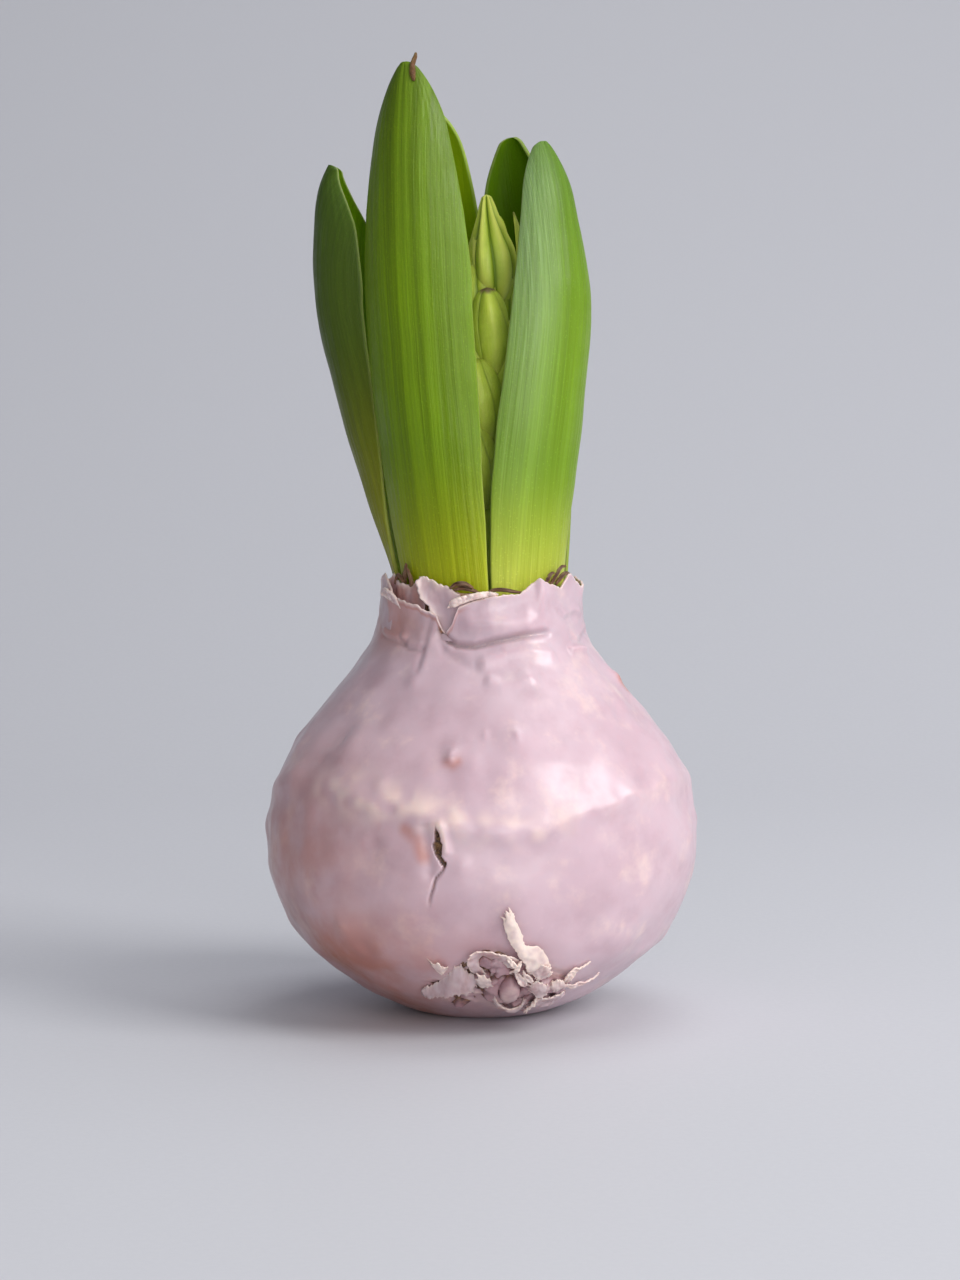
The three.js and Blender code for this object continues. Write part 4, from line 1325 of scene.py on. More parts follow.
@dataclass
class WaxCoat:
    """The dipped shell of wax over the bulb: its body, loose sheets at the neck and scraps over the roots.

    Attributes:
        form: the wax's shape.
        material: finish.
        columns: corners round the body.
        body_rows: rings from the foot to the neck.
        neck_rows: rings up the neck.
        inner_rows: rings down the inside of the neck, and of the body.
        patch_size: rows and columns of the crumpled patch over the roots.
        sheet_size: rows and columns of a loose sheet at the neck.
        flap_size: rows along a flap and columns across it.
        ribbon_columns: corners across a ribbon.
    """

    form: WaxForm
    material: bpy.types.Material
    columns: int = 384
    body_rows: int = 164
    neck_rows: int = 40
    inner_rows: tuple[int, int] = (12, 26)
    patch_size: tuple[int, int] = (142, 196)
    sheet_size: tuple[int, int] = (46, 104)
    flap_size: tuple[int, int] = (80, 26)
    ribbon_columns: int = 20

    def thickness(self, height: Array) -> Array:
        """Gives the wall's thickness: 1.3 mm, thinning to 0.42 mm between 44 and 66 mm up."""
        return 1.3 - 0.88 * smooth_step(height, 44, 66)

    def rim(self, azimuth: Array) -> Array:
        """Gives the height of the torn rim: listed stations, with jags of two sizes.

        Args:
            azimuth: degrees.

        Returns:
            Height in millimetres.
        """
        places = around_axis(azimuth, 16.5, 0)
        jags = 0.3 * self.form.noise.at(places, 2.9) + 0.2 * self.form.noise.at(places + 9, 0.7)
        return read_line(WAX_RIM, azimuth) + jags

    def body(self) -> Shell:
        """Builds the shell: out along the flat spot, up the outside, over the rim and down the inside.

        Returns:
            The closed surface, with its crack, pale ridge, torn rim, stains and painted shade marked.
        """
        form = self.form
        crowds = ((0, 52, 1.7), (-10.8, 2.2, 5), (-21, 5, 1.2), (6, 14, 0.9))
        azimuth = crowded(self.columns + 1, -180, 180, crowds)[:-1][None]
        arc = running_length(np.stack([form.radii, form.heights], axis=-1))
        root_arc, crack_arc = np.interp([8, 31], form.heights, arc)
        crowds = ((root_arc, 7, 1.6), (crack_arc, 4, 2.2), (arc[-1], 4, 1.2))
        climb = np.interp(crowded(self.body_rows, 0, arc[-1], crowds), arc, form.heights)[:, None]
        rim = self.rim(azimuth)
        wall = self.thickness(rim)
        share = np.linspace(0, 1, self.neck_rows + 1)[1:, None]
        neck = NECK_FOOT + (rim - wall / 2 - NECK_FOOT) * share
        height = np.concatenate([np.broadcast_to(climb, (self.body_rows, self.columns)), neck])
        spread = np.broadcast_to(azimuth, height.shape)
        outer = self.outside(spread, height, rim)
        foot = around_axis(azimuth, np.linspace(1.8, FLAT_SPOT, 6)[:-1, None], 0.0)
        bend = np.linspace(0, np.pi, 8)[1:-1, None]
        top = outer[-1] - outward(azimuth[0]) * (wall[0] / 2)[:, None]
        rounding = top[None] + outward(azimuth) * (wall / 2 * np.cos(bend))[..., None]
        rounding[..., 2] += wall / 2 * np.sin(bend)
        inner = self.inside(azimuth, arc, rim, outer[-1])
        added = ((len(foot), len(rounding) + len(inner)), (0, 0))
        inside = {"pale": 0.5, "crack": 0.0, "stain": 0.2, "shade": 0.0}
        shades = {
            label: np.pad(values, added, constant_values=((0.0, inside[label]), (0.0, 0.0)))
            for label, values in self.body_shades(spread, height, rim).items()
        }
        return ring_shell(np.concatenate([foot, outer, rounding, inner]), shades, first=(0, 0, 0))

    def outside(self, azimuth: Array, height: Array, rim: Array) -> Array:
        """Gives the outside: the wax with its detail, flared at the torn rim and pressed in at the crack.

        Args:
            azimuth: degrees.
            height: millimetres.
            rim: height of the rim at each azimuth.

        Returns:
            Points in millimetres.
        """
        form = self.form
        places = around_axis(azimuth, 16.5, height * 0.3)
        flare = 0.7 * form.noise.at(places, 5) * smooth_step(height - rim, -4, 0.5)
        flare = flare + 0.4 * self.torn(azimuth) * np.exp(-np.maximum(rim - height, 0) / 0.7)
        detail = form.detail(azimuth, height) - 0.95 * form.crack(azimuth, height)
        return form.lifted(azimuth, height, detail) + outward(azimuth) * flare[..., None]

    def torn(self, azimuth: Array) -> Array:
        """Marks the part of the rim at the front left that is torn down and bent out."""
        return smooth_step(azimuth, -66, -56) * (1 - smooth_step(azimuth, -14, -6))

    def inside(self, azimuth: Array, arc: Array, rim: Array, edge: Array) -> Array:
        """Gives the rings down the inside, a wall's thickness in, joined to the rim's line near the top.

        Args:
            azimuth: degrees of the columns.
            arc: length along the outline up to each of its heights.
            rim: height of the rim.
            edge: the outside's last ring.

        Returns:
            Points in millimetres.
        """
        form, wall = self.form, self.thickness(rim)
        neck_rows, body_rows = self.inner_rows
        neck = NECK_FOOT + (rim - wall / 2 - NECK_FOOT) * np.linspace(1, 0.06, neck_rows)[:, None]
        body = np.interp(np.linspace(arc[-1] - 0.5, 3, body_rows), arc, form.heights)[:, None]
        height = np.concatenate([neck, np.broadcast_to(body, (body_rows, self.columns))])
        spread = np.broadcast_to(azimuth, height.shape)
        pressed = np.minimum(form.detail(spread, height), 0) - self.thickness(height)
        inner = form.lifted(spread, height, pressed)
        joined = edge[None] - outward(spread) * wall[0][None, :, None]
        joined[..., 2] = height
        fading = smooth_step(height - rim, -3, -wall / 2)[..., None]
        return inner * (1 - fading) + joined * fading

    def body_shades(self, azimuth: Array, height: Array, rim: Array) -> dict[str, Array]:
        """Marks the body's cream ridge and torn edges, its cracks and its brown stains, and paints shade
        onto it: on the left side, warmed by a painted reflected light, in noise patches, along the collar
        crease and over the roots, with painted highlight on the tops of the crumpled folds.

        Args:
            azimuth: degrees.
            height: millimetres.
            rim: height of the rim at each azimuth.

        Returns:
            The values that the wax finish reads.
        """
        form = self.form
        places = around_axis(azimuth, form.radius(height), height)
        near_rim = bell(height - rim, 0.3) * smooth_step(form.noise.at(places, 3), -0.5, 0.4)
        beside_ridge, _ = form.line(RIDGE, azimuth, height)
        uneven = smooth_step(form.noise.at(places + 15, 3), -0.45, 0.5)
        leftward = bell(turn_between(-30, azimuth), 22)
        ridge_ends = smooth_step(azimuth, -62, -36) * (1 - 0.85 * smooth_step(azimuth, 12, 32))
        ridge = 0.7 * uneven * bell(beside_ridge, 2 + 0.9 * leftward) * ridge_ends
        side, along = form.line(CRACK_LIP, azimuth, height)
        lip = 0.9 * bell(side, 0.5) * (1 - 0.7 * along)
        crumple = form.crumple(azimuth, height)
        ruffle = form.folded.folds(places, 3.4, 3)
        # Cream on the tops of the crumpled folds over the roots: partly cream wax, partly painted highlight.
        cream_and_highlight_crests = 0.4 * crumple * smooth_step(ruffle, 0.5, 1.4)

        # Painted shade with a painted warm reflected light: brown over the left side, on the neck's left and
        # low on the left, where less light falls.
        left = bell(turn_between(-62, azimuth), 34) * bell(height - 26, 17)
        neck_left_shade = bell(turn_between(-64, azimuth), 30) * smooth_step(height, 56, 63)
        low_left_warm_shade = bell(turn_between(-50, azimuth), 40) * (1 - smooth_step(height, 10, 30))
        # Painted shade, in brown, in the low parts of the crumpled folds over the roots.
        valley_shade = 0.5 * crumple * smooth_step(-ruffle, -0.1, 0.6)
        cloudy = smooth_step(form.noise.at(places + 71, 4), -0.25, 0.4)
        tan = 0.5 * leftward * bell(beside_ridge + 1.5, 3.4) * cloudy * (1 - ridge)
        # A darker brown band just under the torn, bent-out rim.
        under_rim = 0.85 * self.torn(azimuth) * bell(rim - height - 0.75, 0.4)
        stains = [0.68 * left, valley_shade, 0.8 * neck_left_shade, low_left_warm_shade, tan, under_rim]
        for path, width, strength in BROWN_SPOTS:
            side, _ = form.line(path, azimuth, height)
            stains.append(strength * bell(side, width))

        # Painted shade: purple-brown in noise patches, stronger on the left side, and in the low parts of
        # the crumpled folds over the roots.
        hollows = smooth_step(-form.noise.layered(places + 5, 9, 3), -0.1, 0.7) * smooth_step(height, 2, 8)
        shade = (0.09 + 0.13 * bell(turn_between(-55, azimuth), 45)) * hollows
        # Painted shade: the crack's browns laid along the collar crease, strongest at its left end.
        side, along = form.line(COLLAR_FOLD.path, azimuth, height)
        strength = 0.35 + 0.5 * (1 - smooth_step(along, 0.05, 0.3))
        crease_shade = strength * bell(side, 0.45) * (1 - smooth_step(along, 0.6, 1))
        side, along = form.line(CRACK_TAIL.path, azimuth, height)
        tail = 0.62 * bell(side, 0.13) * (1 - smooth_step(along, 0.6, 1))
        return {
            "pale": np.maximum.reduce([0.75 * near_rim, ridge, lip, cream_and_highlight_crests]),
            "crack": np.maximum.reduce([form.crack(azimuth, height), crease_shade, tail]),
            "stain": np.maximum.reduce(stains),
            "shade": np.maximum(shade, 0.6 * crumple * smooth_step(-ruffle, -0.9, 0.3)),
        }

    def sheet(self, plan: NeckSheet) -> Shell:
        """Builds a loose sheet of wax that stands in the neck.

        Its foot is level. Its left edge runs from azimuth to azimuth as it rises and rolls outwards, and its
        top edge runs through listed stations with fine jags.

        Args:
            plan: its lines and sizes.

        Returns:
            The closed surface.
        """
        noise = Noise(plan.seed)
        u, v = unit_grid(*self.sheet_size)
        guess = plan.foot + (max(z for _, z in plan.top) - plan.foot) * u
        start = read_line([(z, a) for a, z in plan.left], guess)
        jag = noise.layered(points_at(0, v * 0 + 5, guess), 1.3, 3)
        azimuth = start + jag * 1.6 * (1 - v) ** 4 + (max(a for a, _ in plan.top) - start) * v
        rim = read_line(plan.top, azimuth) + 0.45 * noise.layered(around_axis(azimuth, 16, 0), 1.6, 3)
        height = plan.foot + (rim - plan.foot) * u
        places = around_axis(azimuth, 16, height)
        from_left = np.maximum(np.radians(azimuth - start) * 16, 0)
        roll = plan.curl * np.exp(-from_left / 0.9) * smooth_step(u, 0.2, 0.7)
        radius = self.form.radius(height) - plan.inset + roll
        radius = radius + 0.3 * noise.layered(places * (1, 1, 0.5), 3.2, 3) * u
        radius += 0.35 * smooth_step(u, 0.75, 1) * noise.at(places, 2.4)
        rim_close = np.exp(-(rim - height) / 0.5)
        left_close = np.exp(-from_left / 0.6) * smooth_step(u, 0.1, 0.4)
        shades = wax_shades(
            u, pale=0.7 * np.maximum(rim_close, left_close),
            stain=plan.tan * (0.6 + 0.4 * smooth_step(noise.at(places, 2.5), -0.3, 0.5)))
        return sheet_shell(around_axis(azimuth, radius, height), plan.thickness, shades)

    def ribbon(self, plan: Ribbon) -> Shell:
        """Builds a ribbon of wax that lies along a line on the body, with frayed ends and a curled edge.

        Args:
            plan: its line and sizes.

        Returns:
            The closed surface.
        """
        noise = Noise(plan.seed)
        share, across = np.linspace(0, 1, plan.rows), np.linspace(-1, 1, self.ribbon_columns)
        azimuth, height, lift, width = read_curve(plan.stations, share).T
        width = width[:, None]
        normal = self.form.normal(azimuth, height)[:, None]
        line = self.form.lifted(azimuth, height, lift)
        along = unit(np.gradient(line, axis=0))[:, None]
        sideways = unit(np.cross(along, normal))
        sides = points_at(running_length(line)[:, None], 9 * np.sign(across), 0)
        ragged = 1 + plan.fray * (noise.layered(sides, 1.3, 3) + 1.2 * np.abs(noise.at(sides, 0.5)))
        reach = width / 2 * across * ragged
        up = plan.curl * width * (np.abs(across) ** 2.2 * np.where(across > 0, 1.0, 0.45))
        middle = line[:, None] + sideways * reach[..., None] + normal * up[..., None]
        ends = 1.1 * noise.layered(points_at(7, reach * 2.2, 0), 1.0, 2)
        tail = smooth_step(share, 0.86, 1) + smooth_step(1 - share, 0.86, 1)
        middle = middle + along * (ends * tail[:, None])[..., None]
        ruffles = 0.26 * noise.layered(middle, 1.9, 3) + 0.16 * noise.folds(middle + 3, 1.6, 2)
        middle = middle + normal * ruffles[..., None]
        edge = np.exp(-(1 - np.abs(across)) * width / 2 / 0.3)
        # Painted shade: brown and purple-brown laid in noise patches along the ribbon.
        ruffle = noise.layered(middle + 5, 1.2, 3)
        shades = wax_shades(
            reach, pale=plan.pale + 0.45 * edge + 0.25 * ruffle, stain=0.3 * smooth_step(-ruffle, 0.1, 0.8),
            shade=0.4 * smooth_step(-ruffle, -0.1, 0.8))
        return sheet_shell(middle, plan.thickness, shades)

    def flap(self, plan: Flap) -> Shell:
        """Builds a flap of wax between two lines on the body, with toothed margins and a crumpled face.

        Args:
            plan: its margins and sizes.

        Returns:
            The closed surface.
        """
        noise, pale = Noise(plan.seed), plan.pale
        along, across = unit_grid(*self.flap_size)
        share = np.linspace(0, 1, self.flap_size[0])
        places = [read_curve(stations, share).T for stations in (plan.outer, plan.inner)]
        first, second = (self.form.lifted(*place) for place in places)
        width = np.linalg.norm(second - first, axis=-1)
        bites = [self.bites(noise, running_length(first), side, plan.teeth) / width for side in (0.0, 9.0)]
        reach = across * (1 + bites[0] + bites[1])[:, None] - bites[0][:, None]
        middle = first[:, None] + (second - first)[:, None] * reach[..., None]
        combed = points_at(5, reach * width[:, None], 0)
        fringe = np.maximum(1 - 2.4 * np.abs(noise.at(combed, 0.8)), 0)
        ends = 1.1 * fringe - 0.4 + 0.5 * noise.at(combed, 1.9)
        tail = smooth_step(np.abs(along - 0.5), 0.4, 0.5) * np.sign(along - 0.5)
        middle = middle + unit(np.gradient(middle, axis=0)) * (ends * tail)[..., None]
        azimuth, height, _ = places[0]
        crumple = plan.rough * (noise.folds(middle, 2.4, 2) + 0.5 * noise.layered(middle + 8, 0.9, 2))
        stand = plan.bulge * np.sin(np.pi * across) + crumple
        middle = middle + self.form.normal(azimuth, height)[:, None] * stand[..., None]
        edge = np.exp(-np.minimum(across, 1 - across) * width[:, None] / 0.3)
        # Painted shade: the crack's browns, brown and purple-brown laid in noise patches on the face, more
        # the rougher the flap; its edges are cream.
        ruffle = noise.layered(middle + 5, 1.5, 3) * min(plan.rough / 0.07, 1)
        folded = float(smooth_step(plan.rough, 0.0, 0.08)) * (0.35 + 0.65 * smooth_step(-ruffle, -0.5, 0.6))
        shades = wax_shades(
            ruffle, pale=pale * (0.8 + 0.5 * ruffle) + 0.7 * edge,
            crack=0.2 * smooth_step(-ruffle, 0.1, 0.9) * (1 - edge) * (1 - min(1.3 * pale, 1)),
            stain=(0.4 - 0.3 * pale) * smooth_step(-ruffle, -0.6, 0.6), shade=(0.75 - 0.8 * pale) * folded)
        return sheet_shell(middle, plan.thickness, shades)

    @staticmethod
    def bites(noise: Noise, length: Array, side: float, teeth: float) -> Array:
        """Gives how far a toothed margin reaches out: a slow wave with sharp spikes on it.

        Args:
            noise: the flap's own noise.
            length: millimetres along the margin.
            side: number that sets the two margins apart.
            teeth: reach of the teeth in millimetres.

        Returns:
            Reach in millimetres.
        """
        places = points_at(length, side, 0)
        spikes = np.maximum(1 - 2.6 * np.abs(noise.at(places, 1.2)), 0) ** 1.5
        return teeth * (0.7 * noise.at(places + 3, 2.2) + 0.8 * spikes - 0.3)

    def chips(self, base: Array) -> Array:
        """Gives the height of the chips over the roots: at each place the highest of many.

        Each chip is a small tilted flat top with a steep side and a jagged outline.

        Args:
            base: points on the wax.

        Returns:
            How far the highest chip stands off in millimetres.
        """
        form = self.form
        draw = np.random.default_rng(77)
        seeded = [
            (draw.uniform(-1, 34), draw.uniform(2.5, 14), draw.uniform(0.7, 1.7), draw.uniform(0.05, 0.9))
            for _ in range(SEEDED_CHIPS)]
        stand = np.full(base.shape[:-1], -1.0)
        wobble = 0.3 * form.noise.at(base, 1.5) + 0.15 * form.noise.at(base + 4, 0.7)
        for place, up, reach, top in [*ROOT_CHIPS, *seeded]:
            place, up = np.array(float(place)), np.array(float(up))
            away = base - form.surface(place, up)
            tilt = draw.normal(size=3) * 0.3
            flat = top * (0.35 + 0.65 * form.crumple(place, up))
            fall = np.maximum(np.linalg.norm(away, axis=-1) / reach + wobble - 0.75, 0)
            stand = np.maximum(stand, np.minimum(flat + away @ tilt, flat + 0.4) - 3.2 * reach * fall)
        return stand

    def root_patch(self) -> Shell:
        """Builds the crumpled wax over the trimmed roots as one sheet.

        It sinks under the coat round its margin. Chips cover it, an oval knob stands in its middle, folds
        are added and hollows are pressed in.

        Returns:
            The closed surface.
        """
        form = self.form
        rows, columns = self.patch_size
        up, on = unit_grid(rows, columns)
        height, azimuth = 1.2 + 16.8 * up, 80 * on - 32
        base = form.surface(azimuth, height)
        stand = self.chips(base)
        place, up = ROOT_KNOB
        below, middle, above = form.surface(np.array(place), np.array([up - 1, up, up + 1]))
        away = base - middle
        lengthwise = away @ unit(above - below)
        wide, long = ROOT_KNOB_SIZE
        beside = np.maximum(np.sum(away**2, axis=-1) - lengthwise**2, 0)
        oval = np.sqrt(beside / wide**2 + (lengthwise / long) ** 2)
        knob = 2.1 - 0.35 * oval**2 - 6 * np.maximum(oval - 0.95, 0)
        stand = np.where(oval < 1.35, np.maximum(knob, stand - 0.7 * (oval < 1.3)), stand)
        folds = 0.1 * form.folded.folds(base, 1.9, 3) + 0.05 * form.noise.layered(base, 0.9, 2)
        stand += folds * smooth_step(oval, 0.8, 1.1)
        for place, up, reach, depth in ROOT_HOLLOWS:
            hollow = form.surface(np.array(float(place)), np.array(float(up)))
            stand -= depth * bell(np.linalg.norm(base - hollow, axis=-1), reach)
        margin = smooth_step(form.crumple(azimuth, height) + 0.25 * form.noise.at(base, 2.2), 0.12, 0.5)
        stand = -0.65 + (np.maximum(stand, -0.5) + 0.65) * margin
        ruffle = form.noise.layered(base + 9, 1.3, 3)
        # Painted shade: purple-brown and the crack's browns in the crevices between chips, and brown over
        # the whole patch, partly brown staining. The highest chips are cream, partly cream wax, partly
        # painted highlight.
        painted_shade = (0.4 + 0.5 * smooth_step(-stand, -1.2, -0.1)) * (1 - 0.5 * smooth_step(stand, 1.5, 1.9))
        shades = wax_shades(
            stand, pale=0.3 * smooth_step(stand, 1.5, 2.1) * (0.6 + ruffle),
            crack=0.85 * smooth_step(-stand, -0.7, 0.2) * smooth_step(margin, 0.3, 1), stain=0.35 * margin,
            shade=painted_shade * margin)
        return sheet_shell(form.lifted(azimuth, height, stand), 0.3, shades)

    def build(self) -> None:
        """Builds the coat's pieces."""
        layers = [self.sheet(plan) for plan in NECK_SHEETS] + [self.ribbon(plan) for plan in NECK_ROLLS]
        scraps = [self.flap(plan) for plan in ROOT_FLAPS] + [self.ribbon(plan) for plan in ROOT_SLIVERS]
        make_piece("wax_coat_body", [self.body()], self.material, "wax_coat")
        make_piece("wax_neck_layers", layers, self.material, "wax_coat")
        make_piece("wax_root_patch", [self.root_patch()], self.material, "wax_coat")
        make_piece("wax_root_scraps", scraps, self.material, "wax_coat")


# The bulb

# Azimuths and heights of the skin's ragged rim.
TUNIC_RIM = (
    (-180, 67.8), (-150, 68.8), (-120, 67.4), (-92, 68.6), (-68, 69), (-52, 67.6), (-30, 67.6),
    (-12, 68.4), (4, 68.2), (20, 67.6), (40, 68), (54, 69.2), (66, 68.8), (90, 67.8), (120, 69.2),
    (150, 67.6), (180, 67.8),
)
WELL_FLOOR = 54.0
SKIN_NECK = 15.1

# Scraps of skin: azimuth, radius, height and width along each, and its seed.
SKIN_SCRAPS = (
    (((-19, 15.7, 69.2, 0.4), (-15, 16, 69.9, 0.9), (-10, 16, 70, 0.9), (-5, 15.7, 69.3, 0.4)), 61),
    (((-17, 15.4, 69, 0.5), (-12, 15.5, 69.3, 0.9), (-6, 15.5, 69, 0.8), (-1, 15.4, 68.4, 0.4)), 69),
    (((2, 15.4, 68.4, 0.4), (7, 15.7, 69, 0.7), (13, 15.7, 69, 0.8), (19, 15.6, 68.7, 0.6),
      (24, 15.4, 68.5, 0.3)), 67),
    (((40, 15.3, 69, 0.4), (42, 15.6, 70.2, 0.8), (45, 15.6, 71.2, 0.7), (48, 15.5, 71.4, 0.3)), 62),
    (((44, 15.2, 69, 0.5), (47, 15.5, 70.1, 0.8), (51, 15.7, 71.4, 0.8), (55, 15.6, 72.2, 0.7),
      (59, 15.6, 72.3, 0.3)), 63),
    (((50, 15.3, 69.4, 0.5), (53, 15.7, 70.4, 0.9), (58, 15.9, 71.2, 0.8), (64, 15.8, 70.8, 0.4)), 68),
    (((-66, 15.3, 69.4, 0.5), (-61, 15.5, 70.8, 0.9), (-55, 15.4, 69.8, 0.6)), 64),
    (((-60, 15, 68, 0.8), (-58, 14.9, 70, 1.1), (-56, 14.9, 71.8, 0.9), (-54, 14.9, 72.8, 0.3)), 65),
    (((-50, 14.9, 68, 0.9), (-50, 14.9, 69.8, 1), (-52, 14.9, 71.2, 0.7), (-53, 14.9, 72, 0.3)), 66),
)


@dataclass
class Bulb:
    """The bulb under the wax: a body of papery skin whose ragged neck opens round the leaves.

    Attributes:
        form: the wax's shape, which the bulb follows inside.
        material: finish.
        columns: corners round it.
        rows: rings up the body, up the neck and down into the well.
        scrap_size: rows along a scrap and columns across it.
    """

    form: WaxForm
    material: bpy.types.Material
    columns: int = 240
    rows: tuple[int, int, int] = (34, 30, 34)
    scrap_size: tuple[int, int] = (60, 20)

    def body(self) -> Shell:
        """Builds the skin: up the outside, over the ragged neck and down into the well.

        It lies 1.9 mm inside the wax's plain outline, and its neck has a radius of its own.

        Returns:
            The closed surface.
        """
        noise = Noise(21)
        body_rows, neck_rows, well_rows = self.rows
        azimuth = (np.arange(self.columns) * 360 / self.columns - 180)[None]
        rim = read_line(TUNIC_RIM, azimuth) + 0.6 * noise.layered(around_axis(azimuth, 15, 0), 2.2, 4)
        body = np.broadcast_to(np.linspace(2.2, 57, body_rows)[:, None], (body_rows, self.columns))
        neck = 60.2 + (rim - 60.2) * np.linspace(0, 1, neck_rows)[:, None]
        height = np.concatenate([body, neck])
        radius = np.where(height > 60, SKIN_NECK, self.form.radius(height) - 1.9)
        places = around_axis(azimuth, 15, height) * (1, 1, 0.3)
        radius = radius + smooth_step(height, 62, 66) * 0.16 * noise.layered(places, 1.6, 3)
        down = np.linspace(0, 1, well_rows)[:, None]
        inner_radius = radius[-1] - 0.26 - 0.5 * smooth_step(down, 0.1, 0.8)
        rings = np.concatenate([
            around_axis(azimuth, radius, height),
            around_axis(azimuth, inner_radius, rim + 0.02 + (WELL_FLOOR - rim) * down),
            around_axis(azimuth, np.array([12.0, 9, 6, 3])[:, None], WELL_FLOOR),
        ])
        heights = rings[..., 2]
        across, torn = np.abs(np.radians(azimuth)) * 15, 0.6 * bell(heights - rim, 0.35)
        shades = {"across": across, "along": heights, "torn": torn}
        return ring_shell(rings, shades, first=(0, 0, 2.0), last=(0, 0, WELL_FLOOR))

    def scrap(self, stations: Stations, seed: int) -> Shell:
        """Builds a curled scrap of papery skin that stands out of the neck.

        Args:
            stations: azimuth, radius, height and width along its line.
            seed: number that fixes its jags.

        Returns:
            The closed surface.
        """
        noise = Noise(seed)
        rows, columns = self.scrap_size
        share, across = np.linspace(0, 1, rows), np.linspace(-1, 1, columns)
        azimuth, radius, height, width = read_curve(stations, share).T
        facing = outward(azimuth)
        sides = points_at(share[:, None] * 12, np.sign(across) * 6, 0)
        bend = 2.2 * across * (1 + 0.3 * noise.layered(sides, 1.0, 3))
        middle = rolled_strip(around_axis(azimuth, radius, height), facing, width[:, None] / 3.2, bend)
        middle = middle + facing[:, None] * (0.1 * noise.layered(middle, 1.4, 3))[..., None]
        torn = 0.8 * np.exp(-(1 - np.abs(across)) / 0.12)
        return sheet_shell(middle, 0.16, {"across": across + 40, "along": share[:, None] * 9, "torn": torn})

    def build(self) -> None:
        """Builds the bulb's pieces."""
        make_piece("bulb_skin", [self.body()], self.material, "bulb")
        scraps = [self.scrap(*plan) for plan in SKIN_SCRAPS]
        make_piece("bulb_skin_scraps", scraps, self.material)


# The leaves

